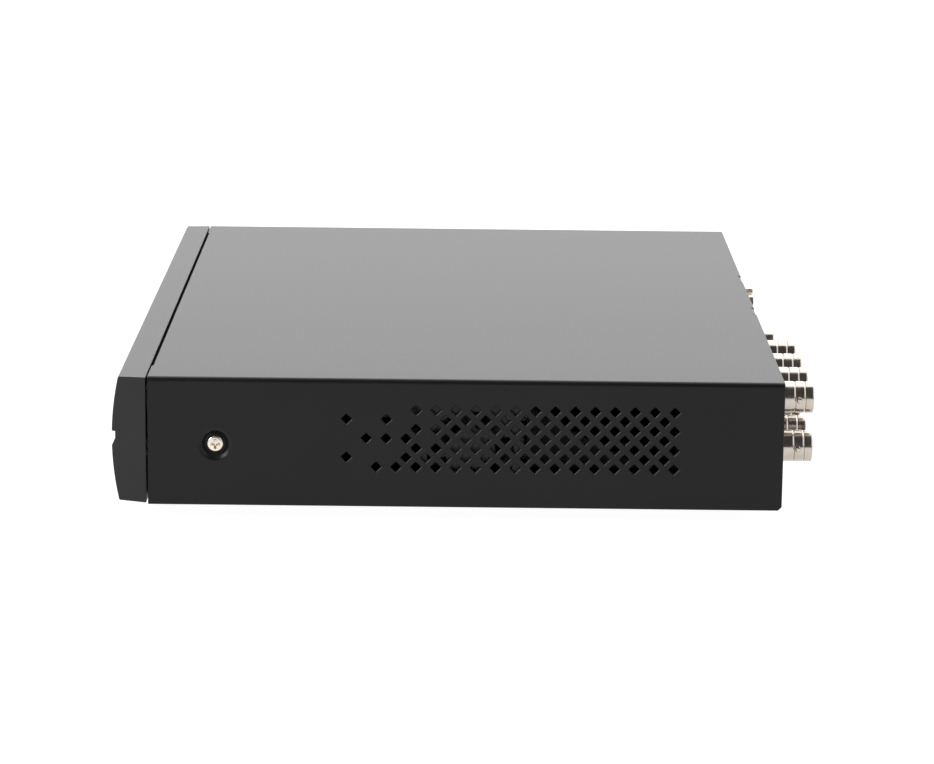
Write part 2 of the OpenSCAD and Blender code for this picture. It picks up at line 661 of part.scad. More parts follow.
module hdmi_shell() color("silver") in_case() translate([video_x, 0, hdmi_z]) difference() {
    plate_xz(181, panel_y + 0.2) hdmi_outline(14.2, 4.8, 1.7);
    plate_xz(182, panel_y + 2) hdmi_outline(13.5, 4.1, 1.5);
}

module hdmi_tongue() color("#151515") in_case() translate([video_x, 0, hdmi_z])
    block([-5.6, 182, 0.1], [5.6, panel_y - 1.4, 1.3]);

module terminal_block() color("#2f8a4a") in_case() translate([terminal_x, 0, 0]) difference() {
    block([-7.9, 178, board_top], [7.9, case_d + 0.6, 16.4]);
    for (i = [-1.5:1:1.5]) translate([i * 3.81, 0, 0]) {
        block([-1.35, case_d - 5, 8.7], [1.35, case_d + 2, 11.4]);
        translate([0, 0, 14]) rod_y(1.5, case_d - 5, case_d + 2);
    }
}

module terminal_screws() color("silver") in_case() for (i = [-1.5:1:1.5])
    translate([terminal_x + i * 3.81, 0, 14]) difference() {
        rod_y(1.35, case_d - 4.9, case_d - 0.6);
        block([-1.5, case_d - 1.1, -0.25], [1.5, case_d, 0.25]);
    }

module dc_jack() color("#151515") in_case() translate([dc_x, 0, 0]) difference() {
    union() {
        block([-4.6, 177, board_top], [4.6, panel_in - fit, 19.6]);
        translate([0, 0, dc_z]) rod_y(4, panel_in - 1, panel_y + 1);
    }
    translate([0, 0, dc_z]) rod_y(2.8, 181, panel_y + 2);
}

module dc_pin() color("#c4bfb5") in_case() translate([dc_x, 0, dc_z]) {
    rod_y(1, 181, panel_y - 0.4);
}

module switch_frame() color("#151515") in_case() translate([rocker_x, 0, rocker_z]) difference() {
    union() {
        plate_xz(panel_y + 0.05, panel_y + 2) soft_rect(15, 21, 1.5);
        block([-6.4, 176, -9.4], [6.4, panel_y + 0.1, 9.4]);
    }
    block([-5.1, 178.2, -8.1], [5.1, panel_y + 3, 8.1]);
    translate([0, 186, 0]) rod_x(1.25, -6, 6);
}

// the rocker is drawn with its upper half pressed in
module power_rocker() color("#26262a") in_case() translate([rocker_x, 186, rocker_z]) rotate([10, 0, 0]) {
    plate_yz(-4.9, 4.9) {
        polygon([[-2.2, -3], [-2.2, 3], [3.9, 6.9], [6.6, 6.7], [5.5, 0], [6.6, -6.7], [3.9, -6.9]]);
        circle(2.8);
    }
    rod_x(1.2, -5.9, 5.9);
}

module earth_screw() color("silver") in_case() translate([earth_x, panel_y + 1.3, earth_z]) {
    rotate([-90, 0, 0]) pan_screw(3.5, 2.3, 1.8, 7);
    difference() {
        rod_y(4.6, -1.2, -0.1);
        rod_y(1.95, -2, 1);
    }
}

// ---------- hard disk ----------

// room for the disks and for the swinging arm, drawn in X and Y
module disk_room() {
    translate(spindle) circle(disk_r + 1.2);
    translate(pivot) circle(21);
    translate([pivot[0] - 22, pivot[1] - 14]) square([46, 62]);
    translate([spindle[0] + 20, spindle[1] + 8]) square([44, 30]);
}

module disk_housing() color("#b9bbbd") in_case() difference() {
    block([hdd_x, hdd_y, hdd_z], [hdd_x + hdd_l, hdd_y + hdd_w, hdd_z + hdd_h - hdd_lid_t]);
    translate([0, 0, hdd_z + 7]) linear_extrude(hdd_h) intersection() {
        disk_room();
        translate([hdd_x + hdd_wall, hdd_y + 1.6]) square([hdd_l - 2 * hdd_wall, hdd_w - 3.2]);
    }
    block([hdd_x + 12, hdd_y + 8, hdd_z - 1], [hdd_x + hdd_l + 1, hdd_y + hdd_w - 8, hdd_z + 2.6]);
    for (p = hdd_holes) translate([p[0], p[1], hdd_z - 1]) cylinder(r = 1.8, h = 6.5);
    for (x = [28, 70, 119], s = [0, 1]) translate([hdd_x + x, hdd_y + s * hdd_w, hdd_z + 6.4])
        rotate([90, 0, 0]) cylinder(r = 1.75, h = 5, center = true);
    translate([spindle[0], spindle[1], hdd_z + 5]) cylinder(r = 4.1, h = 4);
    translate([pivot[0], pivot[1], hdd_z + 4.4]) cylinder(r = 2.1, h = 4);
}

module disk_lid() color("#c9cbcd") in_case() {
    z0 = hdd_z + hdd_h - hdd_lid_t;
    difference() {
        block([hdd_x + 1, hdd_y + 1, z0 + 0.02], [hdd_x + hdd_l - 1, hdd_y + hdd_w - 1, z0 + hdd_lid_t]);
        translate([spindle[0], spindle[1], z0 + 0.5]) difference() {
            cylinder(r = 30, h = 1);
            cylinder(r = 27, h = 3, center = true);
        }
        for (x = [6, hdd_l / 2, hdd_l - 6], y = [6, hdd_w - 6])
            translate([hdd_x + x, hdd_y + y, z0 + 0.4]) cylinder(r = 2.2, h = 1);
    }
}

module disk_platters() color("#d9dde2") in_case() translate([spindle[0], spindle[1], 0]) {
    for (z = disk_z) translate([0, 0, z]) cylinder(r = disk_r, h = disk_t, $fn = 96);
    translate([0, 0, hdd_z + 7.6]) cylinder(r = 12.5, h = 15);
    translate([0, 0, hdd_z + 5.3]) cylinder(r = 4, h = 4);
}

// one arm layer pointing along +X from the pivot
module arm_layer(t) linear_extrude(t)
    polygon([[0, -6], [0, 6], [arm_l - 14, 3], [arm_l, 1], [arm_l, -1], [arm_l - 14, -3]]);

module disk_head_arm() color("#caccd0") in_case() translate([pivot[0], pivot[1], 0]) rotate(arm_rest) {
    for (z = [disk_z[0] - 2.3, disk_z[0] + disk_t + 1.2, disk_z[1] - 2.3 + 0.2, disk_z[1] + disk_t + 1])
        translate([0, 0, z]) arm_layer(1);
    translate([0, 0, disk_z[0] - 3]) cylinder(r = 7.4, h = 12.4);
    translate([0, 0, hdd_z + 4.7]) cylinder(r = 2, h = 6);
    translate([0, 0, disk_z[0] + 1]) linear_extrude(3.4) polygon([[-4, -5], [-17, -10], [-17, 10], [-4, 5]]);
}

module disk_board() color("#1c3f66") in_case() {
    block([hdd_x + 14, hdd_y + 10, hdd_z + 0.8], [hdd_end - 1, hdd_y + hdd_w - 10, hdd_z + 2.2]);
    block([hdd_end - 1.1, hdd_y + 12, hdd_z + 0.8], [hdd_end + 1, hdd_y + 54, hdd_z + 2.2]);
    block([hdd_end + 0.05, hdd_y + 12, hdd_z + 0.8], [hdd_end + 3.8, hdd_y + 54, hdd_z + 8]);
}

module disk_screws() color("silver") in_case() for (p = hdd_holes) translate([p[0], p[1], hdd_z - 1.05])
    rotate([180, 0, 0]) pan_screw(3.2, 1.7, 1.65, 5.5);

// ---------- fan ----------

// children at the four screw places, around the fan's axis
module fan_corners() for (a = [-1, 1], b = [-1, 1]) translate([0, a * fan_hole, b * fan_hole]) children();

module fan_frame() color("#1b1b1d") in_case() translate([0, fan_y, fan_z]) difference() {
    union() {
        difference() {
            plate_yz(fan_x0, fan_x1) soft_rect(fan_w, fan_w, 3);
            rod_x(fan_bore_r, fan_x0 - 1, fan_x1 + 1);
        }
        rod_x(fan_hub_r + 0.4, fan_x0, fan_x0 + 1.4);
        for (a = [45:90:315]) rotate([a, 0, 0])
            block([fan_x0, fan_hub_r, -1], [fan_x0 + 1.4, fan_bore_r + 0.6, 1]);
        rod_x(2.6, fan_x0, fan_x0 + 6);
    }
    rod_x(1.05, fan_x0 - 1, fan_x1);
    fan_corners() rod_x(1.6, fan_x0 - 1, fan_x1 + 1);
}

module fan_rotor() color("#202022") in_case() translate([0, fan_y, fan_z]) {
    difference() {
        rod_x(fan_hub_r, fan_x0 + 2, fan_x1 - 1);
        rod_x(fan_hub_r - 1, fan_x0 + 1, fan_x1 - 2.2);
    }
    rod_x(1, fan_x0 + 0.4, fan_x1 - 1.5);
    intersection() {
        for (a = [0:360 / 7:359]) rotate([a, 0, 0]) translate([(fan_x0 + fan_x1) / 2 + 0.4, 10.2, 0])
            rotate([0, 38, 0]) cube([9.2, 7.2, 0.9], center = true);
        difference() {
            rod_x(fan_bore_r - 0.5, fan_x0 + 2.2, fan_x1 - 0.9);
            rod_x(fan_hub_r - 0.4, fan_x0, fan_x1);
        }
    }
}

module fan_screws() color("silver") in_case() translate([fan_x0, fan_y, fan_z]) fan_corners()
    rotate([0, -90, 0]) pan_screw(2.6, 1.6, 1.4, fan_t + sheet_t + fit);

// ---------- inner cables ----------

module drive_cables() color("#9c2f2a") in_case() {
    cable(data_route, 7, 1.6);
    block([hdd_end + 3.8, 22, 5.4], [hdd_end + 8, 34, 11.6]);
    block([69.1, 115.9, 9.05], [82.9, 120.1, 15]);
    cable(power_route, 5, 3.4);
    block([hdd_end + 3.8, 36, 5.4], [hdd_end + 8, 57, 11.6]);
    block([86.1, 123.1, 9.05], [95.9, 126.9, 15.5]);
}

module front_ribbon() color("#d9d4c6") in_case() {
    cable(ribbon_route, 5, 1.2);
    block([85, front_y + board_t, 18.2], [91, 6.6, 21.8]);
    block([52.1, 118.6, 9.05], [63.9, 122.4, 13.4]);
}

module fan_lead() color("#b03028") in_case() {
    cable(fan_route, 2, 1.2);
    block([93.1, 129.6, 9.05], [98.9, 132.4, 15]);
}

top_cover();
base_chassis();
front_bezel();
rubber_feet();
foot_screws();
side_cover_screws();
rear_cover_screws();
indicator_window();
light_pipes();
front_board();
front_leds();
front_usb_shell();
front_usb_tongue();
main_board();
board_standoffs();
board_screws();
processor();
heatsink();
memory_chips();
video_chips();
power_coils();
capacitors();
battery_holder();
coin_battery();
buzzer();
board_headers();
bnc_housing();
bnc_shells();
bnc_insulators();
bnc_contacts();
audio_housing();
audio_rings();
audio_inserts();
lan_usb_shell();
lan_usb_insert();
video_housing();
vga_shell();
vga_insert();
vga_nuts();
hdmi_shell();
hdmi_tongue();
terminal_block();
terminal_screws();
dc_jack();
dc_pin();
switch_frame();
power_rocker();
earth_screw();
disk_housing();
disk_lid();
disk_platters();
disk_head_arm();
disk_board();
disk_screws();
fan_frame();
fan_rotor();
fan_screws();
drive_cables();
front_ribbon();
fan_lead();
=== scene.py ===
# desktop video recorder with eight camera sockets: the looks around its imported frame
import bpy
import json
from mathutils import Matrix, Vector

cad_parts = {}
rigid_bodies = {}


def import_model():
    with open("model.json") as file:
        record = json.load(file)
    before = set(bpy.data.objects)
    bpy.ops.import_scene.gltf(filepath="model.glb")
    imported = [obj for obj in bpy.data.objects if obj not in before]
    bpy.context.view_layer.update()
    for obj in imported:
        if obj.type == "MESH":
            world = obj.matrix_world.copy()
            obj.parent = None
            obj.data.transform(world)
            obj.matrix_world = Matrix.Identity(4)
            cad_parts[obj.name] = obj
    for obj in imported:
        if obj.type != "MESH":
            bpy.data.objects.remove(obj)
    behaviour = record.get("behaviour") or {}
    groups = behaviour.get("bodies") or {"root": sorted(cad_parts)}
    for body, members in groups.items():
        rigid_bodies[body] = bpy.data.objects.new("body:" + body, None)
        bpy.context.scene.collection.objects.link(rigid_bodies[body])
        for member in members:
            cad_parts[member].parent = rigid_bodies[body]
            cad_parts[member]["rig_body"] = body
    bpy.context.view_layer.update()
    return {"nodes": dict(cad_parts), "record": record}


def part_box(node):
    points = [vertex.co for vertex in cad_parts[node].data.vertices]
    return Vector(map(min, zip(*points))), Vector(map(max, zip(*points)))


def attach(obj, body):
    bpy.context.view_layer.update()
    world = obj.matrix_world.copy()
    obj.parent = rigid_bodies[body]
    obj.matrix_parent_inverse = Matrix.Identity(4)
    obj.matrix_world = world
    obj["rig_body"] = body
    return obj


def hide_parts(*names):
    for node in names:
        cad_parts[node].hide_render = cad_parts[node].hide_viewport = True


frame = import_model()

import json
import math

import bmesh
import bpy
from mathutils import Matrix, Vector
from mathutils.geometry import delaunay_2d_cdt

scene = bpy.context.scene
mm = 0.001
weld = 2e-6                                      # points closer than this are one, in metres
caseLow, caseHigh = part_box("top_cover")          # case measures below are in mm from this corner line
sideX = caseHigh.x / mm                          # outer face of the cover's side wall
caseDeep = (caseHigh.y - caseLow.y) / mm
caseTall = (caseHigh.z - caseLow.z) / mm


def spot(x, y, z):                               # case measures in mm -> place in metres
    return Vector((x * mm, caseLow.y + y * mm, caseLow.z + z * mm))


# camera, floor and light

view = dict(place=(1.11529, -0.001857, 0.266133), turn=-0.1433, tilt=12.7325, roll=0.6581, lens=129.586)


def makeCamera():
    turn, tilt, roll = (math.radians(view[k]) for k in ("turn", "tilt", "roll"))
    back = Vector((math.cos(turn) * math.cos(tilt), math.sin(turn) * math.cos(tilt), math.sin(tilt)))
    level = (-back).cross(Vector((0, 0, 1))).normalized()
    upright = level.cross(-back)
    right = math.cos(roll) * level + math.sin(roll) * upright
    up = -math.sin(roll) * level + math.cos(roll) * upright
    lens = bpy.data.cameras.new("camera")
    lens.lens = view["lens"]
    lens.sensor_width = 36
    lens.clip_start = 0.01
    camera = bpy.data.objects.new("camera", lens)
    camera.matrix_world = Matrix.Translation(view["place"]) @ Matrix((right, up, back)).transposed().to_4x4()
    scene.collection.objects.link(camera)
    scene.camera = camera


studio = dict(
    air=(0.07, 0.07, 0.072),                     # light from all round
    floorGlow=0.97, floorTone=0.16, floorRough=0.9, floorReach=7.0,
    boxes={                                      # name: centre, looks at, width, height, brightness
        "backLow": ((-2.3, 0.0, 0.78), (0, 0, 0.4), 6.0, 1.5, 2.15),
        "backHigh": ((-1.45, 0.0, 2.05), (0, 0, 0.1), 4.0, 1.5, 2.3),
        "overBack": ((-0.44, 0.0, 2.4), (0, 0, 0.1), 4.0, 0.9, 2.0),
        "sideKey": ((0.87, -1.49, 1.02), (0.13, -0.075, 0.02), 1.0, 0.8, 11.5),
        "frontHigh": ((-0.1, -2.3, 1.15), (0, 0, 0.05), 2.6, 1.3, 0.9),
        "rearHigh": ((0.45, 2.2, 1.25), (0.1, 0.1, 0.05), 3.4, 2.2, 1.2),
        "cameraFill": ((2.9, -1.3, 0.5), (0, 0, 0.05), 2.4, 0.9, 0.7),
    },
)


def makeStudio():
    world = bpy.data.worlds.new("studioAir")
    world.use_nodes = True
    tree = world.node_tree
    mix = tree.nodes.new("ShaderNodeMix")        # the camera sees white paper where the floor ends
    mix.data_type = "RGBA"
    byName = {socket.identifier: socket for socket in mix.inputs}
    byName["A_Color"].default_value = (*studio["air"], 1)
    byName["B_Color"].default_value = (1, 1, 1, 1)
    tree.links.new(tree.nodes.new("ShaderNodeLightPath").outputs["Is Camera Ray"], byName["Factor_Float"])
    shown = next(socket for socket in mix.outputs if socket.identifier == "Result_Color")
    tree.links.new(shown, tree.nodes["Background"].inputs["Color"])
    scene.world = world
    for name, (place, aim, wide, high, bright) in studio["boxes"].items():
        lamp = bpy.data.lights.new(name, "AREA")
        lamp.shape = "RECTANGLE"
        lamp.size, lamp.size_y, lamp.energy = wide, high, bright * wide * high * math.pi
        obj = bpy.data.objects.new(name, lamp)
        obj.matrix_world = (Matrix.Translation(place)
                            @ (Vector(place) - Vector(aim)).to_track_quat("Z", "Y").to_matrix().to_4x4())
        scene.collection.objects.link(obj)
    paper = bpy.data.materials.new("floorPaper")
    paper.use_nodes = True
    shader = paper.node_tree.nodes["Principled BSDF"]
    shader.inputs["Base Color"].default_value = (*[studio["floorTone"]] * 3, 1)
    shader.inputs["Roughness"].default_value = studio["floorRough"]
    shader.inputs["Emission Color"].default_value = (1, 1, 1, 1)
    shader.inputs["Emission Strength"].default_value = studio["floorGlow"]
    reach = studio["floorReach"]
    mesh = bpy.data.meshes.new("floor")
    mesh.from_pydata([(-reach, -reach, 0), (reach, -reach, 0), (reach, reach, 0), (-reach, reach, 0)], [],
                     [(0, 1, 2, 3)])
    mesh.materials.append(paper)
    floor = bpy.data.objects.new("floor", mesh)
    scene.collection.objects.link(floor)
    scene.view_settings.view_transform = "Standard"


makeCamera()
makeStudio()
print("camera, floor and lights are set")


# finishes

def node(tree, kind, **inputs):                  # a shader node with its inputs set or linked by name
    made = tree.nodes.new(kind)
    for name, value in inputs.items():
        wire(tree, made.inputs[name.replace("_", " ")], value)
    return made


def wire(tree, socket, value):
    if isinstance(value, bpy.types.NodeSocket):
        tree.links.new(value, socket)
    else:
        socket.default_value = value


def newFinish(name, **shader):
    material = bpy.data.materials.new(name)
    material.use_nodes = True
    tree = material.node_tree
    main = tree.nodes["Principled BSDF"]
    for key, value in shader.items():
        wire(tree, main.inputs[key.replace("_", " ")], value)
    place = tree.nodes.new("ShaderNodeTexCoord").outputs["Object"]
    return material, tree, main, place


def patches(tree, place, size, detail=3, stretch=None):   # soft random field, size of a patch in mm
    if stretch:
        place = node(tree, "ShaderNodeMapping", Vector=place, Scale=stretch).outputs[0]
    return node(tree, "ShaderNodeTexNoise", Vector=place, Scale=1 / (size * mm), Detail=detail).outputs["Fac"]


def ranged(tree, value, low, high, start=0.3, end=0.7):
    made = node(tree, "ShaderNodeMapRange", Value=value)
    for name, number in (("From Min", start), ("From Max", end), ("To Min", low), ("To Max", high)):
        made.inputs[name].default_value = number
    return made.outputs[0]


def blended(tree, share, first, second):
    made = tree.nodes.new("ShaderNodeMix")
    made.data_type = "RGBA"
    for index, value in ((0, share), (6, first), (7, second)):
        wire(tree, made.inputs[index], value)
    return made.outputs[2]


def rgb(tone, gain=1.0):
    return (*[min(1, c * gain) for c in tone], 1)


def bumped(tree, main, height, strength, depth):
    bump = node(tree, "ShaderNodeBump", Height=height, Strength=strength, Distance=depth * mm)
    tree.links.new(bump.outputs[0], main.inputs["Normal"])


def plainFinish(name, tone, rough=(0.4, 0.5), spread=0.12, patch=6, grain=0.5, bump=0.1, depth=0.02,
                stretch=None, **shader):
    material, tree, main, place = newFinish(name, **shader)
    tint = ranged(tree, patches(tree, place, patch), 0, 1)
    wire(tree, main.inputs["Base Color"], blended(tree, tint, rgb(tone, 1 - spread), rgb(tone, 1 + spread)))
    fine = patches(tree, place, grain, 2, stretch)
    wire(tree, main.inputs["Roughness"], ranged(tree, fine, *rough))
    bumped(tree, main, fine, bump, depth)
    return material


def coatFinish(name, tone, rough, peelSize, peelDepth, specular):   # baked paint: orange peel, faint speckle
    material, tree, main, place = newFinish(name, Specular_IOR_Level=specular)
    peel = patches(tree, place, peelSize, 2)
    cloud = ranged(tree, patches(tree, place, 45, 2), 0, 1)
    speck = ranged(tree, patches(tree, place, 0.16, 1), 0, 1, 0.66, 0.72)
    body = blended(tree, cloud, rgb(tone, 0.88), rgb(tone, 1.12))
    wire(tree, main.inputs["Base Color"], blended(tree, speck, body, rgb(tone, 2.6)))
    wire(tree, main.inputs["Roughness"], ranged(tree, peel, *rough))
    bumped(tree, main, peel, peelDepth, 0.02)
    return material


def boardFinish(name, mask, copper):             # solder mask over tracks, with small plated holes
    material, tree, main, place = newFinish(name, Specular_IOR_Level=0.5)
    grid = tree.nodes.new("ShaderNodeTexBrick")
    wire(tree, grid.inputs["Vector"], place)
    grid.offset, grid.squash = 0.5, 0.6
    for key, value in (("Scale", 1 / (9 * mm)), ("Mortar Size", 0.035), ("Brick Width", 0.7),
                       ("Row Height", 0.16)):
        grid.inputs[key].default_value = value
    wire(tree, grid.inputs["Color1"], rgb(mask))
    wire(tree, grid.inputs["Color2"], rgb(mask, 1.25))
    wire(tree, grid.inputs["Mortar"], rgb(mask, 0.55))
    dots = tree.nodes.new("ShaderNodeTexVoronoi")
    wire(tree, dots.inputs["Vector"], place)
    dots.inputs["Scale"].default_value = 1 / (4 * mm)
    vias = ranged(tree, dots.outputs["Distance"], 1, 0, 0.085, 0.1)
    wire(tree, main.inputs["Base Color"], blended(tree, vias, grid.outputs["Color"], rgb(copper)))
    wire(tree, main.inputs["Roughness"], ranged(tree, patches(tree, place, 12), 0.3, 0.42))
    bumped(tree, main, grid.outputs["Fac"], 0.2, 0.03)
    return material


def turnedFinish(name, tone, rough, lines=0.12, **shader):   # plated turned metal: fine rings and soft stains
    material, tree, main, place = newFinish(name, Metallic=1.0, **shader)
    rings = patches(tree, place, lines, 2, (0.1, 1, 0.1))
    stain = patches(tree, place, 2.5, 3)
    wire(tree, main.inputs["Base Color"],
         blended(tree, ranged(tree, stain, 0, 1), rgb(tone, 0.9), rgb(tone, 1.04)))
    wire(tree, main.inputs["Roughness"], ranged(tree, stain, *rough))
    bumped(tree, main, rings, 0.05, 0.01)
    return material


nickelTone = (0.54, 0.485, 0.425)
finishes = dict(
    black_steel=coatFinish("blackCoat", (0.006, 0.006, 0.0062), (0.34, 0.4), 0.55, 0.16, 0.22),
    chassis_steel=coatFinish("chassisCoat", (0.009, 0.009, 0.0092), (0.34, 0.42), 0.4, 0.1, 0.26),
    front_plastic=plainFinish("frontPlastic", (0.0150, 0.0150, 0.0156), (0.36, 0.44), 0.1, 8, 0.3, 0.16, 0.02,
                              Specular_IOR_Level=0.3),
    foot_rubber=plainFinish("footRubber", (0.018, 0.018, 0.019), (0.62, 0.78), 0.2, 3, 0.3, 0.3, 0.03),
    screw_steel=turnedFinish("screwSteel", (0.80, 0.73, 0.63), (0.2, 0.32)),
    nickel=turnedFinish("nickelPlate", nickelTone, (0.14, 0.26)),
    window_plastic=plainFinish("windowPlastic", (0.012, 0.006, 0.008), (0.04, 0.07), 0.1, 20, 2, 0.02, 0.01,
                               Coat_Weight=0.5),
    clear_plastic=plainFinish("clearPlastic", (0.86, 0.9, 0.88), (0.08, 0.14), 0.04, 2, 0.6, 0.05, 0.02,
                              Transmission_Weight=0.5),
    board_green=boardFinish("boardGreen", (0.012, 0.085, 0.035), (0.7, 0.62, 0.4)),
    disk_board_blue=boardFinish("diskBoardBlue", (0.01, 0.045, 0.13), (0.72, 0.64, 0.42)),
    brass_post=turnedFinish("brassPost", (0.78, 0.60, 0.28), (0.2, 0.32)),
    chip_black=plainFinish("chipBlack", (0.014, 0.014, 0.015), (0.42, 0.6), 0.2, 2, 0.15, 0.2, 0.02),
    sink_black=plainFinish("sinkBlack", (0.02, 0.02, 0.021), (0.32, 0.45), 0.15, 4, 0.4, 0.1, 0.02,
                           stretch=(1, 0.1, 1), Metallic=0.6),
    capacitor_blue=plainFinish("capacitorBlue", (0.02, 0.035, 0.13), (0.2, 0.32), 0.15, 4, 0.8, 0.05, 0.02),
    header_cream=plainFinish("headerCream", (0.66, 0.61, 0.48), (0.38, 0.5), 0.06, 4, 0.5, 0.08, 0.02),
    socket_black=plainFinish("socketBlack", (0.016, 0.016, 0.0165), (0.34, 0.48), 0.15, 5, 0.3, 0.12, 0.02),
    white_plastic=plainFinish("whitePlastic", (0.80, 0.79, 0.75), (0.3, 0.42), 0.04, 3, 0.4, 0.06, 0.02,
                              Subsurface_Weight=0.05),
    audio_red=plainFinish("audioRed", (0.42, 0.022, 0.016), (0.3, 0.42), 0.1, 3, 0.4, 0.06, 0.02),
    vga_blue=plainFinish("vgaBlue", (0.012, 0.06, 0.32), (0.3, 0.42), 0.1, 3, 0.4, 0.06, 0.02),
    terminal_green=plainFinish("terminalGreen", (0.03, 0.22, 0.07), (0.32, 0.45), 0.1, 4, 0.4, 0.08, 0.02),
    disk_metal=plainFinish("diskMetal", (0.58, 0.585, 0.6), (0.3, 0.42), 0.06, 10, 0.5, 0.1, 0.02,
                           stretch=(0.1, 1, 1), Metallic=1.0),
    disk_mirror=plainFinish("diskMirror", (0.8, 0.79, 0.78), (0.02, 0.04), 0.02, 30, 1, 0.01, 0.01, Metallic=1.0),
    fan_black=plainFinish("fanBlack", (0.05, 0.05, 0.052), (0.36, 0.5), 0.12, 4, 0.4, 0.1, 0.02),
    cable_red=plainFinish("cableRed", (0.16, 0.012, 0.01), (0.4, 0.52), 0.12, 5, 0.5, 0.1, 0.02),
    ribbon_grey=plainFinish("ribbonGrey", (0.42, 0.42, 0.43), (0.4, 0.5), 0.08, 2, 0.6, 0.1, 0.02),
)
contactFinish = turnedFinish("goldContact", (0.83, 0.62, 0.28), (0.2, 0.3))
# painted shade: the fan screws inside the case are made near black so they show no glint through the vents
fanScrewShadeFinish = turnedFinish("blackenedScrew", (0.05, 0.05, 0.052), (0.4, 0.5))
print("finishes are made:", len(finishes))

slotOf = {part["node"]: part["material_slot"] for part in frame["record"]["subparts"]}
bodyOf = {name: obj["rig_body"] for name, obj in frame["nodes"].items()}
for name, obj in frame["nodes"].items():         # the frame's own nodes take the same finishes
    obj.data.materials.clear()
    # the fan screws take the near-black painted-shade finish instead of their slot's finish
    obj.data.materials.append(fanScrewShadeFinish if name == "fan_screws" else finishes[slotOf[name]])


# making meshes

def newPiece(name, bm, material, outward=True):
    if outward:
        bmesh.ops.recalc_face_normals(bm, faces=bm.faces)
    mesh = bpy.data.meshes.new(name)
    bm.to_mesh(mesh)
    bm.free()
    mesh.materials.append(material)
    piece = bpy.data.objects.new(name, mesh)
    scene.collection.objects.link(piece)
    return piece


def applied(piece):                              # modifiers become plain mesh
    bpy.context.view_layer.update()
    graph = bpy.context.evaluated_depsgraph_get()
    mesh = bpy.data.meshes.new_from_object(piece.evaluated_get(graph))
    piece.modifiers.clear()
    piece.data = mesh
    mesh.name = piece.name
    return mesh


def settle(piece, sharp=32):                     # plain mesh, shaded soft only below the angle
    mesh = applied(piece)
    mesh.shade_smooth()
    mesh.set_sharp_from_angle(angle=math.radians(sharp))


def flatten(piece):                              # broad flat faces keep their own shading beside soft edges
    even = piece.modifiers.new("even", "WEIGHTED_NORMAL")
    even.keep_sharp = True
    even.weight = 60
    applied(piece)


def fit(piece, body, slot, *nodes):              # rides and stands for its nodes, the slot given is not used
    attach(piece, body)
    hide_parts(*nodes)


def edges(piece, width, segments, angle):        # edges sharper than the angle are taken off, width in mm
    bevel = piece.modifiers.new("edges", "BEVEL")
    bevel.width = width * mm
    bevel.segments = segments
    bevel.limit_method = "ANGLE"
    bevel.angle_limit = math.radians(angle)
    bevel.use_clamp_overlap = False
    bevel.harden_normals = False


def cut(piece, *cutters):
    for cutter in cutters:
        boolean = piece.modifiers.new("cut", "BOOLEAN")
        boolean.operation = "DIFFERENCE"
        boolean.solver = "EXACT"
        boolean.object = cutter
    settle(piece)
    for cutter in cutters:
        bpy.data.objects.remove(cutter)


def joinRings(bm, rings):                        # walls between neighbouring rings, a ring may be a single point
    for low, high in zip(rings, rings[1:]):
        for k in range(max(len(low), len(high))):
            corners = [low[k % len(low)], low[(k + 1) % len(low)], high[(k + 1) % len(high)], high[k % len(high)]]
            bm.faces.new(list(dict.fromkeys(corners)))


def closeEnds(bm, rings):
    for ring in (rings[0], rings[-1]):
        if len(ring) > 1:
            bm.faces.new(ring)


def turned(profile, sides, closed=False):        # profile of (radius, height) in mm, turned about Z
    bm = bmesh.new()
    rings = []
    for radius, height in profile:
        if radius == 0:
            rings.append([bm.verts.new((0, 0, height * mm))])
            continue
        rings.append([bm.verts.new((radius * mm * math.cos(2 * math.pi * k / sides),
                                    radius * mm * math.sin(2 * math.pi * k / sides), height * mm))
                      for k in range(sides)])
    if closed:
        joinRings(bm, rings + rings[:1])
    else:
        joinRings(bm, rings)
        closeEnds(bm, rings)
    return bm


def prism(loop, low, high, axis="x"):            # a loop of two coordinates drawn out along x or y, case mm
    bm = bmesh.new()
    ends = [[bm.verts.new(spot(c, a, b) if axis == "x" else spot(a, c, b)) for a, b in loop] for c in (low, high)]
    joinRings(bm, ends)
    closeEnds(bm, ends)
    return bm


def taperedBlock(lowSize, highSize, low, high):  # a block from height low to high, each end with its own size
    bm = bmesh.new()
    bmesh.ops.create_cube(bm, size=1)
    for v in bm.verts:
        (wide, deep), z = (lowSize, low) if v.co.z < 0 else (highSize, high)
        v.co = Vector((v.co.x * wide, v.co.y * deep, z)) * mm
    return bm


def boxLoop(wide, high, x, y):
    return [(x - wide / 2, y - high / 2), (x + wide / 2, y - high / 2), (x + wide / 2, y + high / 2),
            (x - wide / 2, y + high / 2)]


def ringLoop(radius, x, y, sides):
    return [(x + radius * math.cos(2 * math.pi * k / sides), y + radius * math.sin(2 * math.pi * k / sides))
            for k in range(sides)]


def rounded(loop, radii, steps=5):               # a loop with each corner taken off by its own radius
    made = []
    for k, (corner, radius) in enumerate(zip(loop, radii)):
        here, before, after = Vector(corner), Vector(loop[k - 1]), Vector(loop[(k + 1) % len(loop)])
        a, b = (before - here).normalized(), (after - here).normalized()
        half = a.angle(b) / 2
        if radius <= 0 or half > math.radians(89):
            made.append(tuple(here))
            continue
        reach = radius / math.tan(half)
        centre = here + (a + b).normalized() * radius / math.sin(half)
        first, last = here + a * reach - centre, here + b * reach - centre
        for s in range(steps + 1):
            made.append(tuple(centre + first.slerp(last, s / steps).normalized() * radius))
    return made


# copies on points

def groupTree(name, inputs):
    tree = bpy.data.node_groups.new(name, "GeometryNodeTree")
    tree.interface.new_socket("Geometry", in_out="INPUT", socket_type="NodeSocketGeometry")
    for label, kind in inputs:
        tree.interface.new_socket(label, in_out="INPUT", socket_type="NodeSocket" + kind)
    tree.interface.new_socket("Geometry", in_out="OUTPUT", socket_type="NodeSocketGeometry")
    return tree, tree.nodes.new("NodeGroupInput").outputs, tree.nodes.new("NodeGroupOutput").inputs


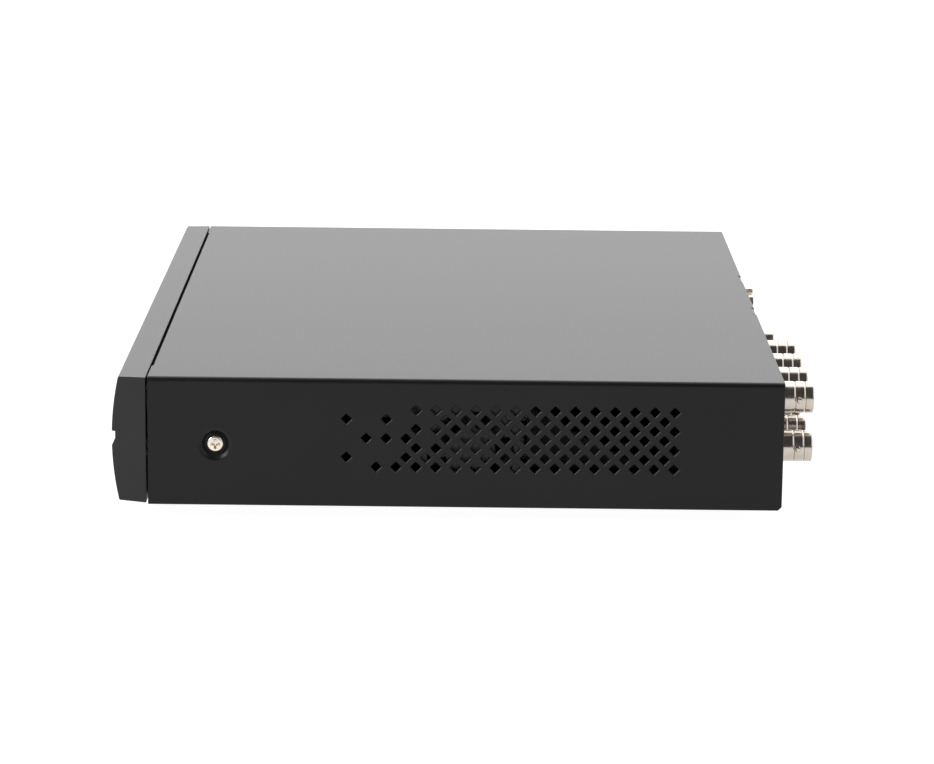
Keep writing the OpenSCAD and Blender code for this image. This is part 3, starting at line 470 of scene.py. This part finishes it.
def endTree(tree, geometry, material, out):      # instances made real, then the finish
    real = node(tree, "GeometryNodeRealizeInstances", Geometry=geometry).outputs[0]
    wire(tree, out["Geometry"], node(tree, "GeometryNodeSetMaterial", Geometry=real, Material=material).outputs[0])


def copiesTree():
    tree, given, out = groupTree("copiesOnPoints", [("Part", "Object"), ("Spin", "Float"), ("Seed", "Int"),
                                                    ("Size", "Float"), ("Finish", "Material")])
    part = node(tree, "GeometryNodeObjectInfo", Object=given["Part"]).outputs["Geometry"]
    facing = tree.nodes.new("GeometryNodeInputNamedAttribute")
    facing.data_type = "FLOAT_VECTOR"
    facing.inputs["Name"].default_value = "facing"
    aim = tree.nodes.new("FunctionNodeAlignRotationToVector")
    aim.axis = "Z"
    wire(tree, aim.inputs["Vector"], facing.outputs["Attribute"])
    chance = tree.nodes.new("FunctionNodeRandomValue")
    chance.data_type = "FLOAT"
    low = tree.nodes.new("ShaderNodeMath")
    low.operation = "MULTIPLY"
    low.inputs[1].default_value = -1
    wire(tree, low.inputs[0], given["Spin"])
    floats = [s for s in chance.inputs if s.type == "VALUE" and s.enabled]
    wire(tree, floats[0], low.outputs[0])
    wire(tree, floats[1], given["Spin"])
    wire(tree, chance.inputs["Seed"], given["Seed"])
    angle = [s for s in chance.outputs if s.type == "VALUE" and s.enabled][0]
    twist = tree.nodes.new("FunctionNodeAxisAngleToRotation")
    twist.inputs["Axis"].default_value = (0, 0, 1)
    wire(tree, twist.inputs["Angle"], angle)
    turn = tree.nodes.new("FunctionNodeRotateRotation")
    turn.rotation_space = "LOCAL"
    wire(tree, turn.inputs["Rotation"], aim.outputs[0])
    wire(tree, turn.inputs["Rotate By"], twist.outputs[0])
    placed = node(tree, "GeometryNodeInstanceOnPoints", Points=given["Geometry"], Instance=part,
                  Rotation=turn.outputs[0])
    wire(tree, placed.inputs["Scale"], given["Size"])
    endTree(tree, placed.outputs[0], given["Finish"], out)
    return tree


def setInputs(modifier, tree, **values):
    modifier.node_group = tree
    ids = {s.name: s.identifier for s in tree.interface.items_tree if s.in_out == "INPUT"}
    for name, value in values.items():
        modifier[ids[name.replace("_", " ")]] = value


copiesOnPoints = copiesTree()


def copies(name, part, places, finish, spin=0.0, seed=1, sharp=32):   # places: (case mm point, facing)
    mesh = bpy.data.meshes.new(name)
    mesh.from_pydata([spot(*p) for p, way in places], [], [])
    facing = mesh.attributes.new("facing", "FLOAT_VECTOR", "POINT")
    facing.data.foreach_set("vector", [c for p, way in places for c in way])
    piece = bpy.data.objects.new(name, mesh)
    scene.collection.objects.link(piece)
    modifier = piece.modifiers.new("copies", "NODES")
    setInputs(modifier, copiesOnPoints, Part=part, Spin=spin, Seed=seed, Size=1.0, Finish=finish)
    settle(piece, sharp)
    bpy.data.objects.remove(part)
    return piece


back, upward, downward = (0, 1, 0), (0, 0, 1), (0, 0, -1)

# top cover

cover = dict(
    sheet=1.0, bend=1.5, bendSteps=7,
    ventFirst=(60.0, 30.1), ventStep=3.0, ventRow=2.95, ventColumns=34, ventSize=2.36,
    ventStarts=(7, 10, 7, 10, 7, 6, 3),          # the column from which a row is punched throughout, one per row
    ventSingles={1: (0, 4), 3: (2, 4, 6), 5: (0,)},   # row: single holes before that column
    recessAt=(20.4, 18.9), recessSides=56,       # the form below is radius and depth, from rim to screw hole
    recessForm=((5.3, 0), (5.1, 0.02), (4.9, 0.08), (4.7, 0.19), (4.5, 0.33), (4.3, 0.49), (4.1, 0.68),
                (3.9, 0.92), (3.7, 1.18), (3.5, 1.42), (3.3, 1.6), (3.1, 1.72), (2.85, 1.79), (2.6, 1.8), (1.7, 1.8)),
    earsAt=(20.5, -35.0), earWide=10.0, earDeep=11.5, earBend=1.1, earSlot=0.3, earRound=1.5, earScrewUp=32.9,
    earHole=1.7, frontRelief=0.5, reliefEnd=114.0, cornerCut=1.1, edge=0.19,
)


def ventTiles():                                 # staggered rhombs: centre and whether it is punched
    y0, z0 = cover["ventFirst"]
    for row, start in enumerate(cover["ventStarts"]):   # the punched field fades out towards the front
        for col in range(1 - row % 2, cover["ventColumns"], 2):
            opened = col >= start or col in cover["ventSingles"].get(row, ())
            yield y0 + col * cover["ventStep"], z0 - row * cover["ventRow"], opened


def tileCorners(y, z):
    halfY, halfZ = cover["ventStep"], cover["ventRow"]
    return [(y - halfY, z), (y, z - halfZ), (y + halfY, z), (y, z + halfZ)]


def fieldLoops(tiles):                           # outline of the tile field: tile edges used by one tile only
    used = {}
    for y, z, opened in tiles:
        corners = [(round(a, 3), round(b, 3)) for a, b in tileCorners(y, z)]
        for pair in zip(corners, corners[1:] + corners[:1]):
            pair = frozenset(pair)
            used[pair] = used.get(pair, 0) + 1
    rim = {}
    for pair, count in used.items():
        if count == 1:
            a, b = tuple(pair)
            rim.setdefault(a, []).append(b)
            rim.setdefault(b, []).append(a)
    loops = []
    while rim:
        start = min(rim)
        loop, here = [start], start
        while True:
            after = rim[here].pop()
            rim[after].remove(here)
            if after == start:
                break
            loop.append(after)
            here = after
        rim = {p: n for p, n in rim.items() if n}
        loops.append(loop)
    return loops


def inside(point, loop):
    x, y = point
    hit = False
    for (ax, ay), (bx, by) in zip(loop, loop[1:] + loop[:1]):
        if (ay > y) != (by > y) and x < (bx - ax) * (y - ay) / (by - ay) + ax:
            hit = not hit
    return hit


def fillSheet(bm, outline, holes, place, skip=None):   # a flat sheet inside an outline, with holes left open
    points, lines = [], []
    for loop in [outline] + holes:
        start = len(points)
        points += [Vector(p) for p in loop]
        lines += [(start + k, start + (k + 1) % len(loop)) for k in range(len(loop))]
    found, _, faces, *_ = delaunay_2d_cdt(points, lines, [], 0, 1e-5)
    verts = [bm.verts.new(place(*p)) for p in found]
    for face in faces:
        middle = sum((found[i] for i in face), Vector((0, 0))) / len(face)
        if inside(middle, outline) and not any(inside(middle, h) for h in holes) and not (skip and skip(middle)):
            bm.faces.new([verts[i] for i in face])


def coverWall(bm, side):                         # one side wall with vent tiles and the screw recess
    punch = bm.faces.layers.bool.get("punch") or bm.faces.layers.bool.new("punch")
    tiles = list(ventTiles())
    halfY, halfZ = cover["ventStep"], cover["ventRow"]

    def place(y, z, depth=0.0):
        return spot(side * (sideX - depth), y, z)

    def onTile(p):
        return any(abs(p[0] - y) / halfY + abs(p[1] - z) / halfZ < 0.999 for y, z, opened in tiles)

    for y, z, opened in tiles:
        face = bm.faces.new([bm.verts.new(place(*p)) for p in tileCorners(y, z)])
        face[punch] = opened
    top = caseTall - cover["bend"]
    c = cover["cornerCut"]
    outline = [(0, 0), (caseDeep - c, 0), (caseDeep, c), (caseDeep, top), (0, top)]
    ry, rz = cover["recessAt"]
    sides, form = cover["recessSides"], cover["recessForm"]
    fillSheet(bm, outline, [ringLoop(form[0][0], ry, rz, sides)] + fieldLoops(tiles), place, onTile)
    joinRings(bm, [[bm.verts.new(place(*p, depth)) for p in ringLoop(radius, ry, rz, sides)]
                   for radius, depth in form])


def bendSheet(bm, rows):                         # a strip of faces over rows of two points
    for low, high in zip(rows, rows[1:]):
        bm.faces.new([low[0], low[1], high[1], high[0]])


def makeCover():
    bm = bmesh.new()
    coverWall(bm, 1)
    coverWall(bm, -1)
    bend, steps = cover["bend"], cover["bendSteps"]
    arc = [math.radians(90 * s / steps) for s in range(steps + 1)]
    for side in (1, -1):                         # long bends between walls and roof
        bendSheet(bm, [[bm.verts.new(spot(side * (sideX - bend + bend * math.cos(a)), y,
                                          caseTall - bend + bend * math.sin(a))) for y in (0, caseDeep)]
                       for a in arc])
    roofX = sideX - bend
    earBend, slot = cover["earBend"], cover["earSlot"]
    start = caseDeep - earBend
    outline = [(-roofX, 0), (-cover["reliefEnd"], 0), (-cover["reliefEnd"], cover["frontRelief"]),
               (cover["reliefEnd"], cover["frontRelief"]), (cover["reliefEnd"], 0), (roofX, 0),
               (roofX, caseDeep)]
    for x in cover["earsAt"]:
        half = cover["earWide"] / 2
        outline += [(x + half + slot, caseDeep), (x + half + slot, start), (x + half, start),
                    (x - half, start), (x - half - slot, start), (x - half - slot, caseDeep)]
        bendSheet(bm, [[bm.verts.new(spot(x + s * half, start + earBend * math.sin(a),
                                          caseTall - earBend + earBend * math.cos(a))) for s in (-1, 1)]
                       for a in arc])
        low = caseTall - cover["earDeep"]
        flap = rounded([(x - half, caseTall - earBend), (x - half, low), (x + half, low),
                        (x + half, caseTall - earBend)], [0, cover["earRound"], cover["earRound"], 0])
        fillSheet(bm, flap, [ringLoop(cover["earHole"], x, cover["earScrewUp"], 32)],
                  lambda a, b: spot(a, caseDeep, b))
    outline += [(-roofX, caseDeep)]
    fillSheet(bm, outline, [], lambda a, b: spot(a, b, caseTall))
    bmesh.ops.remove_doubles(bm, verts=bm.verts, dist=weld)
    bmesh.ops.dissolve_degenerate(bm, edges=bm.edges, dist=weld / 2)
    bmesh.ops.recalc_face_normals(bm, faces=bm.faces)
    bm.faces.ensure_lookup_table()               # the highest flat face tells which way is out
    roof = max(bm.faces, key=lambda f: f.calc_center_median().z * 10 - abs(f.normal.x))
    if roof.normal.z < 0:
        bmesh.ops.reverse_faces(bm, faces=bm.faces)
    piece = newPiece("caseCover", bm, finishes["black_steel"], False)
    modifier = piece.modifiers.new("vents", "NODES")
    share = cover["ventSize"] / math.sqrt(2) * 2 / (cover["ventStep"] + cover["ventRow"])
    setInputs(modifier, ventTree(), Hole_Share=share, Finish=finishes["black_steel"])
    settle(piece)
    wall = piece.modifiers.new("sheet", "SOLIDIFY")
    wall.thickness = cover["sheet"] * mm
    wall.offset = -1
    wall.use_even_offset = True
    wall.use_quality_normals = True
    settle(piece)
    edges(piece, cover["edge"], 1, 40)
    settle(piece, 30)
    roofZ = spot(0, 0, caseTall)[2]
    for v in piece.data.vertices:                # the ears' chamfered corners stay level with the roof
        v.co.z = min(v.co.z, roofZ)
    flatten(piece)
    fit(piece, "recorder", "black_steel", "top_cover")


def ventTree():                                  # marked tiles get a hole of the given share
    tree, given, out = groupTree("punchedVents", [("Hole Share", "Float"), ("Finish", "Material")])
    marked = tree.nodes.new("GeometryNodeInputNamedAttribute")
    marked.data_type = "BOOLEAN"
    marked.inputs["Name"].default_value = "punch"
    pushed = tree.nodes.new("GeometryNodeExtrudeMesh")
    pushed.mode = "FACES"
    pushed.inputs["Individual"].default_value = True
    pushed.inputs["Offset Scale"].default_value = 0
    wire(tree, pushed.inputs["Mesh"], given["Geometry"])
    wire(tree, pushed.inputs["Selection"], marked.outputs["Attribute"])
    shrunk = tree.nodes.new("GeometryNodeScaleElements")
    shrunk.domain = "FACE"
    wire(tree, shrunk.inputs["Geometry"], pushed.outputs["Mesh"])
    wire(tree, shrunk.inputs["Selection"], pushed.outputs["Top"])
    wire(tree, shrunk.inputs["Scale"], given["Hole Share"])
    gone = tree.nodes.new("GeometryNodeDeleteGeometry")
    gone.domain = "FACE"
    wire(tree, gone.inputs["Geometry"], shrunk.outputs[0])
    wire(tree, gone.inputs["Selection"], pushed.outputs["Top"])
    endTree(tree, gone.outputs[0], given["Finish"], out)
    return tree


makeCover()
print("cover with vents is made")

# screws and feet

screws = dict(
    side=dict(head=2.5, high=1.5, shank=1.35, length=5.5),
    rear=dict(head=2.5, high=1.7, shank=1.25, length=5.0),
    foot=dict(head=2.8, high=1.7, shank=1.45, length=4.6),
)
screwForm = dict(                                # shares of the head's radius and height
    roundWide=0.28, roundFrom=0.5, roundHigh=0.42, crown=(0.4, 0.98),
    crossLow=(0.7, 0.2), crossTop=(1.4, 0.32), crossFloor=0.3, crossAbove=1.1,
)


def screwPart(head, high, shank, length, sides=40):   # pan head with a cross recess, standing on z = 0
    form = screwForm
    crown = [(head * (1 - form["roundWide"] + form["roundWide"] * math.cos(a)),
              high * (form["roundFrom"] + form["roundHigh"] * math.sin(a)))
             for a in (math.radians(d) for d in range(0, 91, 15))]
    crown += [(head * form["crown"][0], high * form["crown"][1]), (0, high)]
    profile = [(0, -length), (shank * 0.7, -length), (shank, -length + 0.5), (shank, 0), (head * 0.96, 0),
               (head, 0.08), *crown]
    piece = newPiece("screwPart", turned(profile, sides), finishes["screw_steel"])
    lowSize, topSize = ([head * share for share in form[end]] for end in ("crossLow", "crossTop"))
    cutters = []
    for turn in (0, 90):
        bm = taperedBlock(lowSize, topSize, high * form["crossFloor"], high * form["crossAbove"])
        bmesh.ops.rotate(bm, verts=bm.verts, matrix=Matrix.Rotation(math.radians(turn), 3, "Z"))
        cutters.append(newPiece("cutter", bm, finishes["screw_steel"]))
    cut(piece, *cutters)
    edges(piece, 0.05, 2, 30)
    settle(piece)
    return piece


def makeScrews():
    ry, rz = cover["recessAt"]
    floor = max(depth for radius, depth in cover["recessForm"])
    piece = copies("sideCoverScrews", screwPart(**screws["side"]),
                   [((s * (sideX - floor), ry, rz), (s, 0, 0)) for s in (1, -1)], finishes["screw_steel"], 0.0, 3)
    fit(piece, "recorder", "screw_steel", "side_cover_screws")
    piece = copies("rearCoverScrews", screwPart(**screws["rear"]),
                   [((x, caseDeep, cover["earScrewUp"]), back) for x in cover["earsAt"]],
                   finishes["screw_steel"], 1.5, 5)
    fit(piece, "recorder", "screw_steel", "rear_cover_screws")


feet = dict(inset=30.0, high=4.5, radius=7.8, floorRadius=7.2, recess=3.6, hole=1.6, screwUp=-2.0)


def footPlaces():
    return [(s * (sideX - feet["inset"]), y) for s in (1, -1) for y in (feet["inset"], caseDeep - feet["inset"])]


def makeFeet():
    r, low, recess, floorR = feet["radius"], -feet["high"], feet["recess"], feet["floorRadius"]
    profile = [(feet["hole"], 0), (feet["hole"], feet["screwUp"]), (recess, feet["screwUp"]), (recess, low + 0.3),
               (recess + 0.3, low), (floorR - 0.5, low), (floorR - 0.1, low + 0.15), (floorR + 0.15, low + 0.5),
               (r, low + 1.5), (r, -0.25), (r - 0.25, 0)]
    part = newPiece("footPart", turned(profile, 48, True), finishes["foot_rubber"])
    piece = copies("rubberFeet", part, [((x, y, 0), upward) for x, y in footPlaces()], finishes["foot_rubber"])
    fit(piece, "recorder", "foot_rubber", "rubber_feet")
    piece = copies("footScrews", screwPart(**screws["foot"]),
                   [((x, y, feet["screwUp"]), downward) for x, y in footPlaces()], finishes["screw_steel"], 1.5, 7)
    fit(piece, "recorder", "screw_steel", "foot_screws")


makeScrews()
makeFeet()
print("screws and feet are made")

# plastic front

bezel = dict(
    deep=10.9, gap=0.5, bow=88.0, middle=20.15, top=39.3, lowRear=0.4, lowFront=1.2, draft=1.2, wall=2.0,
    grooveTop=22.4, grooveFlat=20.2, grooveLow=18.0, grooveDeep=1.05, endRound=0.24, faceSteps=14,
    draftPast=1.0,                               # the drafts are counted from this far before the face
    hollowPast=3.0,                              # the hollow runs on this far behind the front
    rearRound=0.3, faceRound=0.5, grooveRounds=(0.3, 0.15, 0.4, 0.5),
    window=(77.0, 119.0, 25.4, 34.0), windowDeep=1.3, lights=(84.0, 92.0, 100.0), lightUp=29.5, lightHole=1.7,
    eye=112.0, eyeHole=3.0, usb=(100.0, 10.6), usbSize=(13.4, 6.0), usbRound=0.4,
    cutFrom=-13.0, paneSteps=10,
)


def faceY(z, inset=0.0):                         # the bowed face seen from the side
    r = bezel["bow"] - inset
    return bezel["bow"] - bezel["deep"] - math.sqrt(r * r - (z - bezel["middle"]) ** 2)


def bezelLoop(inset):                            # (y, z) outline, from the rear top corner forwards and down
    b = bezel
    slope = (b["lowRear"] - b["lowFront"]) / (b["deep"] + b["draftPast"] - b["gap"])
    lowY = faceY(b["lowFront"] + inset, inset)
    lowZ = b["lowFront"] + slope * (lowY + b["deep"] + b["draftPast"]) + inset
    top = b["top"] - inset
    rear = -b["gap"] + (b["hollowPast"] if inset else 0)
    points, radii = [(rear, top), (faceY(top, inset), top)], [b["rearRound"], b["faceRound"]]
    steps = b["faceSteps"]
    runs = [(top, lowZ)] if inset else [(top, b["grooveTop"]), (b["grooveLow"], lowZ)]
    for index, (start, stop) in enumerate(runs):
        for s in range(1, steps):
            z = start + (stop - start) * s / steps
            points.append((faceY(z, inset), z))
            radii.append(0)
        if index == 0 and not inset:             # the groove, in the outer face only
            y = -b["deep"] + b["grooveDeep"]
            points += [(faceY(stop), stop), (y, stop), (y, b["grooveFlat"]),
                       (faceY(b["grooveLow"]), b["grooveLow"])]
            radii += b["grooveRounds"]
    points += [(lowY, lowZ), (rear, b["lowRear"] + inset)]
    radii += [b["faceRound"], b["rearRound"]]
    return rounded(points, [0 if inset else r for r in radii])


def shrink(loop, amount):                        # every point moved inwards by the same amount
    area = sum(a[0] * b[1] - b[0] * a[1] for a, b in zip(loop, loop[1:] + loop[:1]))
    turn = 1 if area > 0 else -1
    made = []
    for k, p in enumerate(loop):
        a, b = Vector(loop[k - 1]), Vector(loop[(k + 1) % len(loop)])
        along = (b - a).normalized()
        made.append((p[0] - turn * along.y * amount, p[1] + turn * along.x * amount))
    return made


def bezelBody(inset, roundness, name):
    loop = bezelLoop(inset)
    slant = bezel["draft"] / (bezel["deep"] + bezel["draftPast"] - bezel["gap"])
    bm = bmesh.new()
    rings = []
    stages = [(roundness * (1 - math.sin(math.radians(a))), roundness * (1 - math.cos(math.radians(a))))
              for a in range(0, 91, 18)] if roundness else [(0, 0)]
    for side in (-1, 1):
        for pull, behind in stages if side < 0 else stages[::-1]:   # ring drawn in, and set back from the end face
            ring = []
            for (y, z), moved in zip(loop, shrink(loop, pull)):
                endX = sideX - inset - slant * (-bezel["gap"] - y)
                ring.append(bm.verts.new(spot(side * (endX - behind), *moved)))
            rings.append(ring)
    joinRings(bm, rings)
    closeEnds(bm, rings)
    return newPiece(name, bm, finishes["front_plastic"])


def mouth(loopAt, y0, y1, flare=0.35):           # a straight cutter whose outer end is flared like a chamfer
    bm = bmesh.new()
    rows = []
    for y, grow in ((y0 - 1, flare + 1), (y0, flare), (y0 + flare, 0), (y1, 0)):
        rows.append([bm.verts.new(spot(a, y, b)) for a, b in loopAt(grow)])
    joinRings(bm, rows)
    closeEnds(bm, rows)
    return newPiece("cutter", bm, finishes["front_plastic"])


def makeBezel():
    piece = bezelBody(0, bezel["endRound"], "frontBezel")
    hollow = bezelBody(bezel["wall"], 0, "cutter")
    low, high, bottom, top = bezel["window"]
    deep, steps, start = bezel["windowDeep"], bezel["paneSteps"], bezel["cutFrom"]
    heights = [bottom + (top - bottom) * s / steps for s in range(steps + 1)]
    pane = [(start, bottom)] + [(faceY(z, deep), z) for z in heights] + [(start, top)]
    cutters = [hollow, newPiece("cutter", prism(pane, low, high), finishes["front_plastic"])]
    holes = [(x, bezel["lightHole"], 24) for x in bezel["lights"]] + [(bezel["eye"], bezel["eyeHole"], 32)]
    for x, radius, sides in holes:
        bore = prism(ringLoop(radius, x, bezel["lightUp"], sides), start + 1, 1, "y")
        cutters.append(newPiece("cutter", bore, finishes["front_plastic"]))
    ux, uz = bezel["usb"]
    wide, tall = bezel["usbSize"]
    cutters.append(mouth(lambda g: rounded(boxLoop(wide + 2 * g, tall + 2 * g, ux, uz), [bezel["usbRound"] + g] * 4),
                         faceY(uz), 1))
    cut(piece, *cutters)
    settle(piece, 28)
    flatten(piece)
    fit(piece, "recorder", "front_plastic", "front_bezel")


makeBezel()
print("plastic front is made")

# camera and audio sockets

sockets = dict(                                  # profiles are radius and height, from the rim or the rear panel
    columns=(113.0, 93.0, 73.0, 53.0), rows=(16.3, 31.6), audioX=33.0, rim=202.1, radius=4.83,
    root=((4.05, -9.6), (3.0, -9.6), (3.0, -20.1), (5.1, -20.1), (5.1, -10.8), (5.0, -10.6)), barrelFrom=-10.4,
    grooves=(-5.5, -2.45), grooveDeep=0.24, grooveSlope=0.6, grooveLip=0.08,   # two fine grooves round the barrel
    lip=((4.35, 0), (4.15, -0.08), (4.05, -0.3)), lipRound=((0, -0.4), (0.12, -0.14), (0.35, 0)),
    stud=((0.95, 4.3), (0.95, 5.1), (0.87, 5.27), (0.72, 5.4), (0.5, 5.47), (0, 5.5)), studUp=-4.45,
    insulator=((1.15, -19.1), (2.9, -19.1), (2.9, -9.7), (2.35, -9.7), (2.35, -5.1), (2.2, -4.9), (1.3, -4.9),
               (1.15, -5.05)),
    contact=((0, -21.1), (1.1, -21.1), (1.1, -5.0), (0.95, -4.72), (0.72, -4.7), (0.66, -4.85), (0.66, -9.5),
             (0, -9.5)),
    contactSlot=(3, 0.24), contactCut=(-8, -4),
    ring=((3.75, -5.8), (4.32, -5.8), (4.32, -0.05), (4.15, 0.05), (4.15, 4.55), (4.08, 4.78), (3.98, 4.9),
          (3.82, 4.9), (3.75, 4.8)),
    insert=((1.65, -5.8), (3.65, -5.8), (3.65, 3.0), (3.5, 3.2), (1.85, 3.2), (1.65, 3.0)),
)


def barrelPart():                                # the shell's rim is at height 0, its body goes down
    r = sockets["radius"]
    profile = [*sockets["root"], (r, sockets["barrelFrom"])]
    for up in sockets["grooves"]:
        profile += [(r, up - sockets["grooveSlope"]), (r - sockets["grooveDeep"], up), (r, up + sockets["grooveLip"])]
    profile += [(r - inwards, up) for inwards, up in sockets["lipRound"]]
    piece = newPiece("barrel", turned(profile + list(sockets["lip"]), 56, True), finishes["nickel"])
    bm = bmesh.new()
    bm.from_mesh(piece.data)
    for side in (1, -1):                         # bayonet studs
        stud = turned(sockets["stud"], 20)
        bmesh.ops.recalc_face_normals(stud, faces=stud.faces)
        bmesh.ops.rotate(stud, verts=stud.verts, matrix=Matrix.Rotation(side * math.pi / 2, 3, "Y"))
        bmesh.ops.translate(stud, verts=stud.verts, vec=(0, 0, sockets["studUp"] * mm))
        extra = bpy.data.meshes.new("stud")
        stud.to_mesh(extra)
        stud.free()
        bm.from_mesh(extra)
    bm.to_mesh(piece.data)
    bm.free()
    return piece


def contactPart():                               # a centre contact with its slit
    part = newPiece("contact", turned(sockets["contact"], 28), contactFinish)
    slit = taperedBlock(sockets["contactSlot"], sockets["contactSlot"], *sockets["contactCut"])
    cut(part, newPiece("cutter", slit, contactFinish))
    return part


def placeTurned(name, node, slot, profile, sides, places):
    part = newPiece(profile, turned(sockets[profile], sides, True), finishes[slot])
    fit(copies(name, part, places, finishes[slot]), "recorder", slot, node)


def makeSockets():
    cameraPlaces = [((x, sockets["rim"], z), back) for x in sockets["columns"] for z in sockets["rows"]]
    audioPlaces = [((sockets["audioX"], caseDeep, z), back) for z in sockets["rows"]]
    piece = copies("cameraSocketShells", barrelPart(), cameraPlaces, finishes["nickel"], sharp=20)
    fit(piece, "recorder", "nickel", "bnc_shells")
    placeTurned("cameraSocketInsulators", "bnc_insulators", "white_plastic", "insulator", 40, cameraPlaces)
    piece = copies("cameraSocketContacts", contactPart(), cameraPlaces, contactFinish)
    fit(piece, "recorder", "brass_post", "bnc_contacts")
    placeTurned("audioRings", "audio_rings", "nickel", "ring", 48, audioPlaces)
    placeTurned("audioInserts", "audio_inserts", "audio_red", "insert", 40, audioPlaces)


makeSockets()
print("camera and audio sockets are made")

# pieces whose frame shape only needs softer edges

softer = dict(                                   # frame node: name, edge width in mm
    base_chassis=("baseChassis", 0.12), bnc_housing=("cameraSocketHousing", 0.25),
    audio_housing=("audioHousing", 0.25), lan_usb_shell=("networkUsbShell", 0.1),
    lan_usb_insert=("networkUsbInsert", 0.1), video_housing=("videoHousing", 0.25),
    vga_shell=("monitorShell", 0.1), vga_insert=("monitorInsert", 0.1), vga_nuts=("monitorNuts", 0.15),
    hdmi_shell=("digitalVideoShell", 0.1), hdmi_tongue=("digitalVideoTongue", 0.08),
    terminal_block=("terminalBlock", 0.2), terminal_screws=("terminalScrews", 0.1),
    dc_jack=("powerInlet", 0.2), switch_frame=("switchFrame", 0.3), power_rocker=("powerRocker", 0.3),
    front_usb_shell=("frontUsbShell", 0.1), front_usb_tongue=("frontUsbTongue", 0.1),
    indicator_window=("indicatorWindow", 0.1), earth_screw=("earthScrew", 0.12),
)


def soften(source, name, width):
    bm = bmesh.new()
    bm.from_mesh(frame["nodes"][source].data)
    bmesh.ops.remove_doubles(bm, verts=bm.verts, dist=weld)
    bmesh.ops.dissolve_limit(bm, angle_limit=math.radians(0.5), verts=bm.verts, edges=bm.edges)
    piece = newPiece(name, bm, finishes[slotOf[source]], False)
    edges(piece, width, 2, 38)
    settle(piece)
    flatten(piece)
    fit(piece, bodyOf[source], slotOf[source], source)


for source, (name, width) in softer.items():
    soften(source, name, width)
print("softened pieces:", len(softer))
